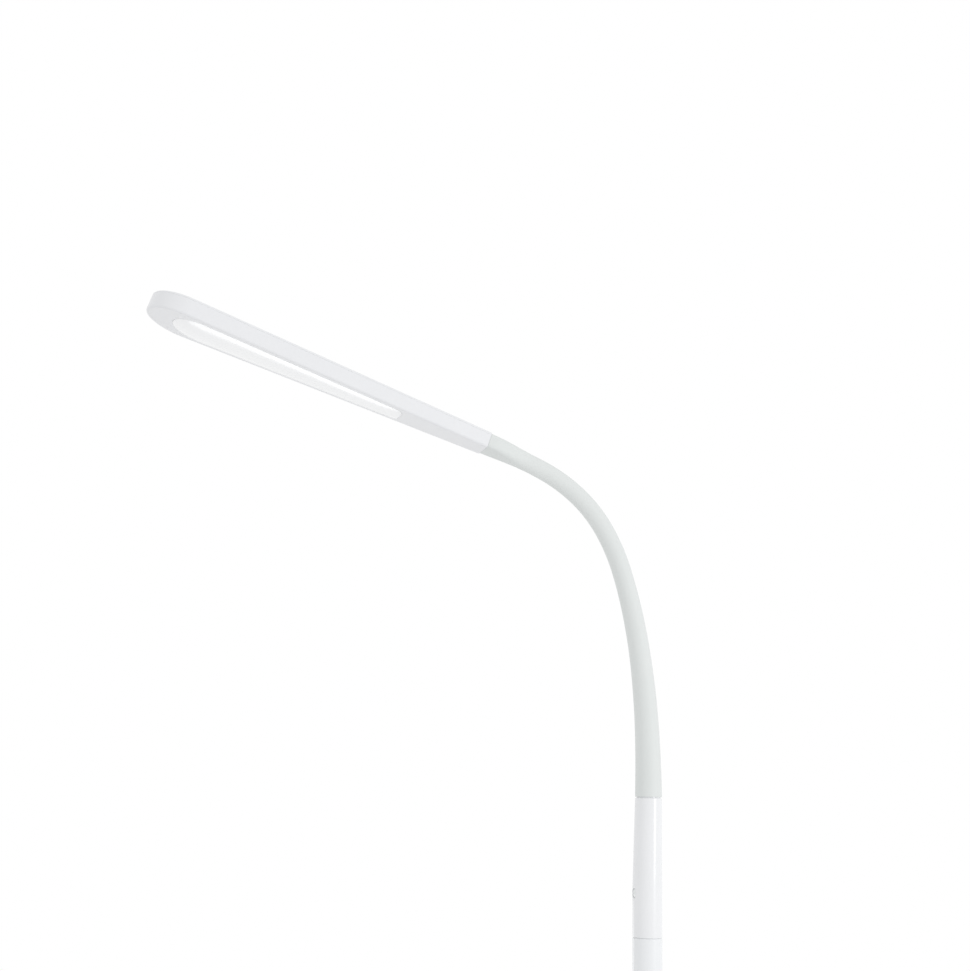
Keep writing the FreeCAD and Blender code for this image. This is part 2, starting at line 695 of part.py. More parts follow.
def tapered_outline(end_half, end_z, tip_r, tip_z, grow, y):
    """Flat outline at one y, grown all round: a straight end, two tapering sides and a round tip."""
    beta = taper_angle(end_half, end_z, tip_r, tip_z)
    radius = tip_r + grow
    foot_z = end_z - grow
    foot_x = (radius - (foot_z - tip_z) * math.sin(beta)) / math.cos(beta)
    side = at(radius * math.cos(beta), y, tip_z + radius * math.sin(beta))
    mirror = at(-side.x, y, side.z)
    edges = [
        Part.makeLine(at(-foot_x, y, foot_z), at(foot_x, y, foot_z)),
        Part.makeLine(at(foot_x, y, foot_z), side),
        Part.Arc(side, at(0, y, tip_z + radius), mirror).toShape(),
        Part.makeLine(mirror, at(-foot_x, y, foot_z)),
    ]
    return Part.Wire(edges)


def head_prism(grow, low_y, high_y):
    """The head's plan outline, grown by an offset, as a prism between two heights above the underside."""
    outline = tapered_outline(FERRULE_W / 2, 0.0, HEAD_TIP_R, HEAD_L - HEAD_TIP_R, grow, low_y)
    return Part.Face(outline).extrude(at(0, high_y - low_y, 0))


def window_prism(grow, low_y, high_y):
    """The light window's outline, grown by an offset, as a prism with rounded corners at its ferrule end."""
    outline = tapered_outline(WINDOW_END_W / 2, WINDOW_FERRULE_GAP, WINDOW_TIP_R, WINDOW_TIP_Z, grow, low_y)
    prism = Part.Face(outline).extrude(at(0, high_y - low_y, 0))
    foot_z = WINDOW_FERRULE_GAP - grow
    corners = [e for e in prism.Edges if abs(e.BoundBox.ZMax - foot_z) < NEAR and e.BoundBox.XLength < NEAR]
    return prism.makeFillet(WINDOW_CORNER_R + grow, corners)


def roof_y(z):
    """Height of the head's top face, which rises from the ferrule to the tip."""
    return FERRULE_T / 2 + (HEAD_T - FERRULE_T) * z / HEAD_L


def under_roof(drop):
    """All the room below the head's top face lowered by a drop."""
    reach = 2 * HEAD_L
    corners = [
        at(-reach, -reach, -reach),
        at(-reach, roof_y(-reach) - drop, -reach),
        at(-reach, roof_y(reach) - drop, reach),
        at(-reach, -reach, reach),
    ]
    face = Part.Face(Part.makePolygon(corners + corners[:1]))
    return face.extrude(at(2 * reach, 0, 0))


def head_form():
    """The head's outer form, with rounded long edges."""
    form = head_prism(0, HEAD_UNDER_Y, HEAD_T).common(under_roof(0)).removeSplitter()
    rounded = []
    for edge in form.Edges:
        box = edge.BoundBox
        runs_round = box.ZLength > 1 or box.ZMin > 1
        on_under = abs(box.YMax - HEAD_UNDER_Y) < NEAR
        on_roof = abs(box.YMax - roof_y(box.ZMax)) < NEAR
        if runs_round and (on_under or on_roof):
            rounded.append(edge)
    return form.makeFillet(HEAD_EDGE_R, rounded)


def post_places():
    """Where the cover's posts and their screws stand, beside the row of light sources."""
    first = WINDOW_FERRULE_GAP + POST_D
    last = WINDOW_TIP_Z
    return [at(0, 0, first + (last - first) * i / (POST_COUNT - 1)) for i in range(POST_COUNT)]


def tongue_screw_places():
    """Where the neck's tongue is screwed down in the head."""
    x = (TONGUE_W / 2 + TONGUE_BORE_D / 2) / 2
    return [at(-x, 0, HEAD_WALL + TONGUE_SCREW_REACH), at(x, 0, HEAD_WALL + TONGUE_SCREW_REACH)]


def head_tray():
    """Lower shell of the head: floor, side walls, bevelled light window and bosses for the neck's tongue."""
    cavity = head_prism(-HEAD_WALL, FLOOR_TOP_Y, HEAD_T)
    window = window_prism(0, HEAD_UNDER_Y - 1, FLOOR_TOP_Y + 1)
    tray = head_form().common(under_roof(COVER_T)).cut(cavity).cut(window)
    rim = []
    for edge in tray.Edges:
        box = edge.BoundBox
        inside = box.ZMin > WINDOW_FERRULE_GAP - NEAR and box.ZMax < HEAD_L - WINDOW_TIP_GAP + NEAR
        if inside and abs(box.YMax - HEAD_UNDER_Y) < NEAR and abs(box.YMin - HEAD_UNDER_Y) < NEAR:
            rim.append(edge)
    tray = tray.makeChamfer(WINDOW_BEVEL, rim)
    boss_y = HEAD_UNDER_Y + HEAD_FLOOR / 2
    boss_h = -TONGUE_T / 2 - boss_y
    mouth_t = TONGUE_T + 2 * FIT
    mouth = block(TONGUE_NECK_W + 2 * FIT, mouth_t, HEAD_WALL * 2, 0, -mouth_t / 2, -HEAD_WALL / 2)
    cuts = [mouth]
    for p in tongue_screw_places():
        tray = tray.fuse(rod(TONGUE_BOSS_D, boss_h, at(p.x, boss_y, p.z), Y))
        cuts.append(rod(TONGUE_SCREW_D + FIT, FERRULE_T, at(p.x, HEAD_UNDER_Y + TONGUE_PILOT_SKIN, p.z), Y))
    return in_head(tray.cut(cuts[0].multiFuse(cuts[1:])))


def head_cover():
    """Upper shell of the head: a lid with a locating lip and posts that the heat spreader hangs on."""
    lid = head_form().cut(under_roof(COVER_T))
    lip_out = head_prism(-HEAD_WALL - FIT, 0, HEAD_T)
    lip_in = head_prism(-HEAD_WALL - FIT - COVER_LIP_T, 0, HEAD_T)
    lip = lip_out.cut(lip_in).common(under_roof(COVER_T)).cut(under_roof(COVER_T + COVER_LIP_L))
    lip = lip.cut(block(FERRULE_W, HEAD_T, 2 * HEAD_WALL + COVER_LIP_T, 0, 0, 0))
    posts = [rod(POST_D, HEAD_T, at(p.x, POST_FOOT_Y, p.z), Y) for p in post_places()]
    posts = posts[0].multiFuse(posts[1:]).common(under_roof(COVER_T / 2))
    pilots = [rod(TONGUE_SCREW_D + FIT, POST_PILOT_L, at(p.x, POST_FOOT_Y, p.z), Y) for p in post_places()]
    return in_head(lid.multiFuse([lip, posts]).cut(pilots[0].multiFuse(pilots[1:])))


def crown_rise(half_width):
    """How far the diffuser's crown stands proud of its edges, where it is this wide."""
    return DIFFUSER_CROWN_R - math.sqrt(DIFFUSER_CROWN_R ** 2 - half_width ** 2)


def crown_bar():
    """Round bar whose underside is the crown; its edges stay level with the head's underside."""
    low = at(0, HEAD_UNDER_Y + DIFFUSER_CROWN_R - crown_rise(WINDOW_END_W / 2), WINDOW_FERRULE_GAP)
    high = at(0, HEAD_UNDER_Y + DIFFUSER_CROWN_R - crown_rise(WINDOW_TIP_R), WINDOW_TIP_Z)
    run = high - low
    return rod(2 * DIFFUSER_CROWN_R, 3 * run.Length, low - run, run)


def diffuser():
    """Opal diffuser: a flange on the tray's floor and a crowned lens that fills the window."""
    flange = window_prism(STACK_RIM, FLOOR_TOP_Y, REFLECTOR_Y)
    proud = 2 * crown_rise(WINDOW_TIP_R)
    lens = window_prism(-FIT, HEAD_UNDER_Y - proud, FLOOR_TOP_Y).common(crown_bar())
    return in_head(flange.fuse(lens))


def reflector():
    """White frame round the light chamber, between the diffuser and the light board."""
    frame = window_prism(STACK_RIM, REFLECTOR_Y, LED_BOARD_Y)
    return in_head(frame.cut(window_prism(STACK_RIM - REFLECTOR_RIM_T, REFLECTOR_Y, LED_BOARD_Y)))


def led_board():
    """Aluminium-core board for the light sources, with a tab for the lead's socket."""
    board = window_prism(STACK_RIM, LED_BOARD_Y, SPREADER_Y)
    tab_z = WINDOW_FERRULE_GAP - STACK_RIM - LED_TAB_L
    board = board.fuse(block(LED_TAB_W, LED_BOARD_T, LED_TAB_L * 2, 0, LED_BOARD_Y, tab_z))
    return in_head(board.cut(post_holes(LED_BOARD_Y, LED_BOARD_T)))


def post_holes(y, thickness):
    """Clearance holes for the screws into the cover's posts."""
    holes = [rod(TONGUE_SCREW_D + 2 * RUN, thickness, at(p.x, y, p.z), Y) for p in post_places()]
    return holes[0].multiFuse(holes[1:])


def leds():
    """Two rows of small light sources under the board."""
    chips = []
    first = WINDOW_FERRULE_GAP + LED_L
    last = WINDOW_TIP_Z + LED_L
    for i in range(LED_COUNT):
        z = first + (last - first) * (i // 2) / (LED_COUNT // 2 - 1)
        x = math.copysign(LED_W + POST_D / 4, (i % 2) - 0.5)
        chips.append(block(LED_W, LED_H, LED_L, x, LED_BOARD_Y - LED_H, z - LED_L / 2))
    return in_head(Part.makeCompound(chips))


def heat_spreader():
    """Aluminium plate between the light board and the cover's posts."""
    plate = window_prism(STACK_RIM, SPREADER_Y, POST_FOOT_Y)
    return in_head(plate.cut(post_holes(SPREADER_Y, SPREADER_T)))


def small_screw(place, head_y, length):
    """A hexagon-head screw driven along +Y."""
    top = at(place.x, head_y - TONGUE_SCREW_HEAD_T, place.z)
    head = hexagon(TONGUE_SCREW_FLATS, TONGUE_SCREW_HEAD_T, top, Y)
    return head.fuse(rod(TONGUE_SCREW_D, length, at(place.x, head_y, place.z), Y))


def head_screws():
    """Screws through the light board and the spreader into the cover's posts."""
    length = LED_BOARD_T + SPREADER_T + POST_PILOT_L - RUN
    return in_head(Part.makeCompound([small_screw(p, LED_BOARD_Y, length) for p in post_places()]))


def tongue_screws():
    """Screws that hold the neck's tongue down on the tray's bosses."""
    screws = []
    for p in tongue_screw_places():
        head = hexagon(TONGUE_SCREW_FLATS, TONGUE_SCREW_HEAD_T, at(p.x, TONGUE_T / 2, p.z), Y)
        length = TONGUE_T / 2 - HEAD_UNDER_Y - TONGUE_PILOT_SKIN - RUN
        screws.append(head.fuse(rod(TONGUE_SCREW_D, length, at(p.x, TONGUE_T / 2, p.z), -Y)))
    return in_head(Part.makeCompound(screws))


def led_socket():
    """Socket under the light board's tab, where the neck's lead ends."""
    z = WINDOW_FERRULE_GAP - STACK_RIM - LED_TAB_L
    return in_head(block(CONNECTOR_W, LED_BOARD_Y + NECK_LEAD_W, LED_TAB_L / 2, 0, -NECK_LEAD_W, z))


# ================================================================ all pieces
def main():
    """Builds and writes every piece."""
    save("base_cover", base_cover())
    save("base_weight", base_weight())
    save("base_pad", base_pad())
    save("base_screws", base_screws())
    save("base_stem", base_stem())
    save("stem_washer", stem_washer())
    save("stem_nut", stem_nut())
    save("power_jack", power_jack())
    save("power_lead", power_lead())
    for i, name in enumerate(POLE_NAMES):
        z = BASE_H + POLE_SECTION_L * i
        save(name, pole_tube(z))
        save(name + "_joiner", pole_joiner(z + POLE_SECTION_L))
    save("control_housing", control_housing())
    save("control_button", control_button())
    save("switch_body", switch_body())
    save("switch_stem", switch_stem())
    save("switch_dome", switch_dome())
    save("control_board", control_board())
    save("control_parts", control_parts())
    save("board_connectors", board_connectors())
    save("neck_root", neck_root())
    for i in range(1, len(SPANS) - 1):
        save("neck_link_" + str(i), neck_link(i))
    save("neck_tip", neck_tip())
    save("neck_sleeve", neck_sleeve())
    save("neck_lead", neck_lead())
    save("head_tray", head_tray())
    save("head_cover", head_cover())
    save("diffuser", diffuser())
    save("reflector", reflector())
    save("led_board", led_board())
    save("leds", leds())
    save("led_socket", led_socket())
    save("heat_spreader", heat_spreader())
    save("head_screws", head_screws())
    save("tongue_screws", tongue_screws())


main()
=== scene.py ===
"""Dresses the gooseneck reading floor lamp over its working model: shells, sleeve, lens and finishes."""
import logging
import math
from dataclasses import dataclass, field
from enum import Enum
from typing import Callable

import bmesh
import bpy
from mathutils import Matrix, Vector


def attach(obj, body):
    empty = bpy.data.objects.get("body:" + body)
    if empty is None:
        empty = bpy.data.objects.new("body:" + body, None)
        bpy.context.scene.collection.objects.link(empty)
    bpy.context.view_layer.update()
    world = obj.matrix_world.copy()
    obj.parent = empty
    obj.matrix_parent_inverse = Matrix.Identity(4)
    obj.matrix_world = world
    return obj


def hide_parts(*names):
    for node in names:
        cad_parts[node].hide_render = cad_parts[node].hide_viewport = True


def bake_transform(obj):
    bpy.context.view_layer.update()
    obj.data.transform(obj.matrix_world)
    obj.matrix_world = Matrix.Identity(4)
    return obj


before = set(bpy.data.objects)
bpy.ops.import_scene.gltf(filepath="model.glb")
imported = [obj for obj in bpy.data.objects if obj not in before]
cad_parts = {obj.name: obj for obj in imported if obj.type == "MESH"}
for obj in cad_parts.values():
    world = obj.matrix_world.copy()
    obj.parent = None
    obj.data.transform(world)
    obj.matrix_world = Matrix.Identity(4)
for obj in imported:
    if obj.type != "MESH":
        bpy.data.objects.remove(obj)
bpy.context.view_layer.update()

LOG = logging.getLogger("reading_lamp")
MM = 0.001
UP = Vector((0.0, 0.0, 1.0))
SAME_POINT = 1e-7  # Points closer than this, in metres, are merged.
ON_PLANE = 1e-6  # A point closer to a plane than this, in metres, lies on it.
NEAR = 0.1  # A point closer to a face than this, in millimetres, belongs to it.
OVERCUT = 1.0  # A cutter passes the face that it cuts by this many millimetres.
RIM_DEG = 60.0  # The faces of a rim meet at more than this many degrees.
# How many faces go round, from the base's cover down to a screw boss.
COVER_STEPS = 192
DRUM_STEPS = 160
TUBE_STEPS = 128
BORE_STEPS = 64
BAR_STEPS = 48
PIN_STEPS = 32
# How many faces a rounding has.
BROAD_EDGE = 8
HEAD_EDGE = 6
FINE_EDGE = 3
SEAM_EDGE = 2
Shape = Callable[[float, float], Vector]
Height = Callable[[float], float]


# ------------------------------------------------------------------ ways of filling the scene
def add_object(name: str, data: bpy.types.ID) -> bpy.types.Object:
    """Adds an object to the scene.

    Args:
        name: Its name.
        data: Its mesh, camera or lamp.

    Returns:
        The new object.
    """
    made = bpy.data.objects.new(name, data)
    bpy.context.scene.collection.objects.link(made)
    return made


def as_mesh(bm: bmesh.types.BMesh, name: str) -> bpy.types.Mesh:
    """Turns a bmesh into a mesh.

    Args:
        bm: The bmesh, which is freed.
        name: The mesh's name.

    Returns:
        The new mesh.
    """
    mesh = bpy.data.meshes.new(name)
    bm.to_mesh(mesh)
    bm.free()
    return mesh


def empty_tree(owner: bpy.types.Material | bpy.types.World) -> bpy.types.NodeTree:
    """Gives a material or a world a node tree with nothing in it.

    Args:
        owner: The material or the world.

    Returns:
        Its node tree.
    """
    owner.use_nodes = True
    owner.node_tree.nodes.clear()
    return owner.node_tree


# ------------------------------------------------------------------ finishes
class Grain(Enum):
    """The fine relief that a way of making leaves on a surface."""

    MOULDED = "even spark-eroded grain of a mould"
    PEEL = "soft orange peel of a sprayed or moulded gloss"
    TURNED = "rings left by a lathe or a brush"
    CELLS = "closed cells or sand grains"


# How much fine detail each grain's noise has.
NOISE_DETAIL = {Grain.MOULDED: 3.0, Grain.PEEL: 0.0, Grain.TURNED: 2.0}
CLOUD_DETAIL = 2.0
# A turned surface's noise is drawn out across the axis, so that it reads as rings.
RING_STRETCH = 0.04
SMOOTHEST = 0.02
SHEEN_ROUGHNESS = 0.6


def linear(hex_colour: str) -> tuple[float, float, float, float]:
    """Turns an sRGB hex colour to linear light.

    Args:
        hex_colour: A colour such as "#E8ECEF".

    Returns:
        Red, green, blue and alpha, from 0 to 1.
    """
    channels = [int(hex_colour[i:i + 2], 16) / 255 for i in (1, 3, 5)]
    red, green, blue = (c / 12.92 if c <= 0.04045 else ((c + 0.055) / 1.055) ** 2.4 for c in channels)
    return red, green, blue, 1.0


def add_node(tree: bpy.types.NodeTree, kind: str, settings: dict, inputs: dict) -> bpy.types.Node:
    """Adds a node, with its settings and what goes into its sockets.

    Args:
        tree: The node tree to add to.
        kind: The node's Blender type.
        settings: Its properties by name.
        inputs: A value, or another node's output, by socket name or number.

    Returns:
        The new node.
    """
    node = tree.nodes.new(kind)
    for name, value in settings.items():
        setattr(node, name, value)
    for name, value in inputs.items():
        if isinstance(value, bpy.types.NodeSocket):
            tree.links.new(value, node.inputs[name])
        else:
            node.inputs[name].default_value = value
    return node


@dataclass(frozen=True)
class Finish:
    """A surface finish: what the stuff is, how it was made, and how large its pattern is."""

    name: str
    slot: str
    light: str
    dark: str
    roughness: float
    grain: Grain
    grain_mm: float
    relief_mm: float
    tone_mm: float = 40.0
    roughness_swing: float = 0.06
    metallic: float = 0.0
    ior: float = 1.5
    coat: float = 0.0
    sheen: float = 0.0
    depth_mm: float = 0.0

    def pattern(self, tree: bpy.types.NodeTree, place: bpy.types.NodeSocket) -> bpy.types.NodeSocket:
        """Adds the fine relief.

        Args:
            tree: The material's node tree.
            place: The object coordinates.

        Returns:
            The output that carries the height, from 0 to 1.
        """
        fineness = 1.0 / (self.grain_mm * MM)
        if self.grain is Grain.CELLS:
            cells = {"Vector": place, "Scale": fineness}
            return add_node(tree, "ShaderNodeTexVoronoi", {}, cells).outputs["Distance"]
        if self.grain is Grain.TURNED:
            rings = {"Vector": place, "Scale": (RING_STRETCH, RING_STRETCH, 1.0)}
            place = add_node(tree, "ShaderNodeMapping", {}, rings).outputs["Vector"]
        noise = {"Vector": place, "Scale": fineness, "Detail": NOISE_DETAIL[self.grain]}
        return add_node(tree, "ShaderNodeTexNoise", {}, noise).outputs["Fac"]

    def material(self) -> bpy.types.Material:
        """Builds the material, or gives the one already built.

        Returns:
            The material.
        """
        made = bpy.data.materials.get(self.name)
        if made is not None:
            return made
        made = bpy.data.materials.new(self.name)
        tree = empty_tree(made)
        place = add_node(tree, "ShaderNodeTexCoord", {}, {}).outputs["Object"]
        clouds = {"Vector": place, "Scale": 1.0 / (self.tone_mm * MM), "Detail": CLOUD_DETAIL}
        cloud = add_node(tree, "ShaderNodeTexNoise", {}, clouds).outputs["Fac"]
        tones = {"Factor": cloud, "A": linear(self.dark), "B": linear(self.light)}
        tone = add_node(tree, "ShaderNodeMix", {"data_type": "RGBA"}, {})
        for socket in tone.inputs:
            if socket.enabled and socket.name in tones:
                if socket.name == "Factor":
                    tree.links.new(cloud, socket)
                else:
                    socket.default_value = tones[socket.name]
        colour = next(o for o in tone.outputs if o.enabled)
        height = self.pattern(tree, place)
        low = max(SMOOTHEST, self.roughness - self.roughness_swing)
        spread = {"Value": height, "To Min": low, "To Max": self.roughness + self.roughness_swing}
        gloss = add_node(tree, "ShaderNodeMapRange", {}, spread).outputs["Result"]
        relief = {"Height": height, "Strength": 1.0, "Distance": self.relief_mm * MM}
        bump = add_node(tree, "ShaderNodeBump", {}, relief).outputs["Normal"]
        shader_inputs = {"Base Color": colour, "Roughness": gloss, "Normal": bump, "Metallic": self.metallic}
        if not self.metallic:
            shader_inputs["IOR"] = self.ior
        if self.coat:
            shader_inputs.update({"Coat Weight": self.coat, "Coat Roughness": self.roughness / 2})
        if self.sheen:
            shader_inputs.update({"Sheen Weight": self.sheen, "Sheen Roughness": SHEEN_ROUGHNESS})
        if self.depth_mm:
            shader_inputs.update({"Subsurface Weight": 1.0, "Subsurface Scale": self.depth_mm * MM})
        shader = add_node(tree, "ShaderNodeBsdfPrincipled", {}, shader_inputs)
        add_node(tree, "ShaderNodeOutputMaterial", {}, {"Surface": shader.outputs["BSDF"]})
        return made


# Real mould grain and lathe rings are finer than 0.2 mm and wouldn't show, so they are drawn at 0.3 mm to
# 1.2 mm.

# Moulded ABS with a polished mould: cool white, with the faint ripple that long gloss faces have.
GLOSS_SHELL = Finish("moulded_gloss_abs", "white_shell", "#F2F3F5", "#EFF0F2", 0.20,
                     Grain.PEEL, 2.5, 0.004, roughness_swing=0.02)
# The same ABS from a mould with a fine spark grain: a soft even glow.
SATIN_SHELL = Finish("moulded_satin_abs", "white_shell", "#F0F1F3", "#ECEDF0", 0.34,
                     Grain.MOULDED, 1.2, 0.006)
# Powder coat on steel tube: a hard shine with the wide, low ripple of melted powder.
POWDER_COAT = Finish("powder_coated_steel", "white_paint", "#F2F4F6", "#EEF0F2", 0.24,
                     Grain.PEEL, 3.0, 0.006, roughness_swing=0.03)
# The button is satin, so that a fingertip's marks don't show.
BUTTON_SATIN = Finish("satin_abs_button", "button_cap", "#EBEEEE", "#E7EAEA", 0.32,
                      Grain.MOULDED, 0.8, 0.004)
# Moulded silicone: matte, a little darker and greener than the shells, with a faint sheen at its edges.
SILICONE = Finish("matte_silicone", "sleeve_silicone", "#E5E8E7", "#E0E4E3", 0.55,
                  Grain.MOULDED, 1.0, 0.010, tone_mm=60.0, ior=1.41, sheen=0.03)
# Opal acrylic: milky all through, so it reads as an even, brighter white under a smooth, softly shining skin.
OPAL_LENS = Finish("opal_acrylic", "diffuser_opal", "#FCFDFE", "#FAFBFD", 0.19,
                   Grain.PEEL, 4.0, 0.003, roughness_swing=0.02, ior=1.49, coat=0.8)
# White polycarbonate of the light chamber: matte, so that it throws light back evenly.
CHAMBER_WHITE = Finish("matte_polycarbonate", "reflector_white", "#F4F4F2", "#EEEEEC", 0.5,
                       Grain.MOULDED, 0.8, 0.006)
# Cast iron under a sealer: dark, with the pits of the sand mould.
SEALED_IRON = Finish("sealed_cast_iron", "weight_iron", "#47474A", "#39393C", 0.55,
                     Grain.CELLS, 1.6, 0.08, tone_mm=15.0, metallic=1.0)
# Closed-cell foam rubber: black, dull and finely pitted.
FOAM = Finish("closed_cell_foam", "pad_foam", "#2A2A2C", "#222224", 0.9,
              Grain.CELLS, 0.7, 0.06, tone_mm=10.0)
# Zinc plating: a bright, slightly blue passivated skin.
ZINC = Finish("zinc_plated_steel", "steel_plain", "#C4C6CA", "#B4B7BC", 0.34,
              Grain.MOULDED, 0.5, 0.004, tone_mm=6.0, metallic=1.0)
# Turned steel: the fine rings of the lathe.
TURNED_STEEL = Finish("turned_steel", "core_steel", "#B4B4B6", "#A6A6A9", 0.32,
                      Grain.TURNED, 0.35, 0.006, tone_mm=12.0, metallic=1.0)
# Turned aluminium: paler and softer than the steel.
TURNED_ALUMINIUM = Finish("turned_aluminium", "joiner_alloy", "#D2D3D5", "#C6C8CA", 0.36,
                          Grain.TURNED, 0.4, 0.006, tone_mm=14.0, metallic=1.0)
# Rolled aluminium plate of the light board and its spreader.
ROLLED_ALUMINIUM = Finish("rolled_aluminium", "board_alloy", "#DADBDC", "#CDCFD1", 0.4,
                          Grain.MOULDED, 0.6, 0.004, tone_mm=20.0, metallic=1.0)
# Solder mask on fibreglass: a green lacquer with the weave just showing.
SOLDER_MASK = Finish("green_solder_mask", "board_green", "#1E6B41", "#195C37", 0.3,
                     Grain.MOULDED, 0.5, 0.006, tone_mm=8.0, coat=0.4)
# Black nylon of the inlet and the small parts: dull, with a fine mould grain.
BLACK_NYLON = Finish("moulded_black_nylon", "black_plastic", "#232324", "#1B1B1D", 0.5,
                     Grain.MOULDED, 0.4, 0.006, tone_mm=8.0)
# Undyed nylon of the sockets: a warm, slightly waxy white.
NATURAL_NYLON = Finish("natural_nylon", "socket_nylon", "#E4E0D2", "#DBD6C6", 0.45,
                       Grain.MOULDED, 0.5, 0.004, tone_mm=6.0, depth_mm=0.6)
# PVC jacket of the leads: white, soft and faintly shiny.
PVC_JACKET = Finish("pvc_jacket", "lead_jacket", "#E2E2E0", "#DADAD8", 0.42,
                    Grain.MOULDED, 0.8, 0.006, tone_mm=20.0)
# Phosphor over the light chips: a matte yellow.
PHOSPHOR = Finish("yellow_phosphor", "led_phosphor", "#F3D36A", "#EBC552", 0.55,
                  Grain.MOULDED, 0.3, 0.004, tone_mm=3.0)


# ------------------------------------------------------------------ ways of making a mesh
def clean(bm: bmesh.types.BMesh) -> None:
    """Merges points that coincide and drops faces without area."""
    bmesh.ops.remove_doubles(bm, verts=bm.verts, dist=SAME_POINT)
    bmesh.ops.dissolve_degenerate(bm, edges=bm.edges, dist=SAME_POINT)


def lathe(profile: list[tuple[float, float]], steps: int = TUBE_STEPS) -> bmesh.types.BMesh:
    """Spins a closed half profile round the Z axis.

    Args:
        profile: Corners as (radius, height), in millimetres.
        steps: How many faces go round.

    Returns:
        A closed mesh, in metres.
    """
    bm = bmesh.new()
    verts = [bm.verts.new((r * MM, 0.0, z * MM)) for r, z in profile]
    edges = [bm.edges.new(pair) for pair in zip(verts, verts[1:] + verts[:1])]
    bmesh.ops.spin(bm, geom=verts + edges, cent=(0, 0, 0), axis=UP, angle=math.tau, steps=steps,
                   use_merge=True)
    clean(bm)
    bmesh.ops.recalc_face_normals(bm, faces=bm.faces)
    return bm


def soften(bm: bmesh.types.BMesh, edges: list[bmesh.types.BMEdge], width: float,
           segments: int = FINE_EDGE) -> None:
    """Rounds edges.

    Args:
        bm: The mesh.
        edges: The edges to round.
        width: The width of the rounding, in millimetres.
        segments: How many faces each rounding has.
    """
    bmesh.ops.bevel(bm, geom=edges, offset=width * MM, offset_type="OFFSET", segments=segments, profile=0.5,
                    affect="EDGES", clamp_overlap=True, material=-1)


def sharp_edges(bm: bmesh.types.BMesh, degrees: float = RIM_DEG) -> list[bmesh.types.BMEdge]:
    """Finds the edges whose faces meet at more than an angle."""
    limit = math.radians(degrees)
    return [e for e in bm.edges if len(e.link_faces) == 2 and e.calc_face_angle() > limit]


def outer_rims(bm: bmesh.types.BMesh, radius: float) -> list[bmesh.types.BMEdge]:
    """Finds the rims on the outer face of a round mesh, whose radius is in millimetres."""
    return [e for e in sharp_edges(bm) if e.verts[0].co.xy.length > (radius - NEAR) * MM]


def set_depth(parts: list, depth: Height) -> None:
    """Moves the points among some parts of a mesh.

    Args:
        parts: The parts, of which only the points are moved.
        depth: The new y for a point's z, in millimetres.
    """
    for vert in parts:
        if isinstance(vert, bmesh.types.BMVert):
            vert.co.y = depth(vert.co.z / MM) * MM


def skin(outer: Shape, bands: int, sides: int, inner: Shape | None = None) -> bmesh.types.BMesh:
    """Makes a bent and shaped bar, or a tube if it gets an inner shape.

    Args:
        outer: The surface point for a share of the length and an angle round it, in metres.
        bands: How many rings of faces go along.
        sides: How many faces go round.
        inner: The bore's surface, in the same way.

    Returns:
        A closed mesh.
    """
    bm = bmesh.new()
    solid = inner is None
    half_l = 0.5
    radii = (1.0,) if solid else (1.0, 0.5)
    for radius in radii:
        bmesh.ops.create_cone(bm, cap_ends=solid, segments=sides, radius1=radius, radius2=radius,
                              depth=2 * half_l)
    long_edges = [e for e in bm.edges if abs(e.verts[0].co.z - e.verts[1].co.z) > half_l]
    bmesh.ops.subdivide_edges(bm, edges=long_edges, cuts=bands - 1, use_grid_fill=True)
    if not solid:
        for end in (-half_l, half_l):
            rim = [e for e in bm.edges if all(abs(v.co.z - end) < ON_PLANE for v in e.verts)]
            bmesh.ops.bridge_loops(bm, edges=rim)
    for vert in bm.verts:
        shape = outer if solid or vert.co.xy.length > sum(radii) / 2 else inner
        vert.co = shape(round((vert.co.z + half_l) * bands) / bands, math.atan2(vert.co.y, vert.co.x))
    bmesh.ops.recalc_face_normals(bm, faces=bm.faces)
    return bm


def rounded_section(wide: float, thick: float, power: float, angle: float) -> Vector:
    """Gives a point of a section that lies between an ellipse and a rectangle.

    Args:
        wide: Half its width.
        thick: Half its thickness.
        power: How square it is: 2 for an ellipse, and more towards a rectangle.
        angle: The direction of the point.

    Returns:
        The point, in the unit of the sizes, with x along the width.
    """
    c, s = math.cos(angle), math.sin(angle)
    across = math.copysign(wide * abs(c) ** (2 / power), c)
    deep = math.copysign(thick * abs(s) ** (2 / power), s)
    return Vector((across, deep, 0.0))


def carve(bm: bmesh.types.BMesh, cutter: bmesh.types.BMesh) -> bmesh.types.BMesh:
    """Cuts one closed mesh out of another.

    Args:
        bm: The mesh to cut, which is freed.
        cutter: The mesh to take away, which is freed.

    Returns:
        What is left.
    """
    blank = add_object("blank", as_mesh(bm, "blank"))
    tool = add_object("cutter", as_mesh(cutter, "cutter"))
    cut = blank.modifiers.new("cut", "BOOLEAN")
    cut.operation = "DIFFERENCE"
    cut.solver = "EXACT"
    cut.object = tool
    left = bmesh.new()
    left.from_mesh(blank.evaluated_get(bpy.context.evaluated_depsgraph_get()).to_mesh())
    for holder in (blank, tool):
        mesh = holder.data
        bpy.data.objects.remove(holder)
        bpy.data.meshes.remove(mesh)
    return left


def bar(diameter: float, low: float, high: float, steps: int = BAR_STEPS) -> bmesh.types.BMesh:
    """Makes a round bar on the Z axis.

    Args:
        diameter: Its diameter, in millimetres.
        low: The height of its foot, in millimetres.
        high: The height of its top.
        steps: How many faces go round.

    Returns:
        A closed mesh, in metres.
    """
    bm = bmesh.new()
    radius = diameter / 2 * MM
    bmesh.ops.create_cone(bm, cap_ends=True, segments=steps, radius1=radius, radius2=radius,
                          depth=(high - low) * MM, matrix=Matrix.Translation((0, 0, (low + high) / 2 * MM)))
    return bm


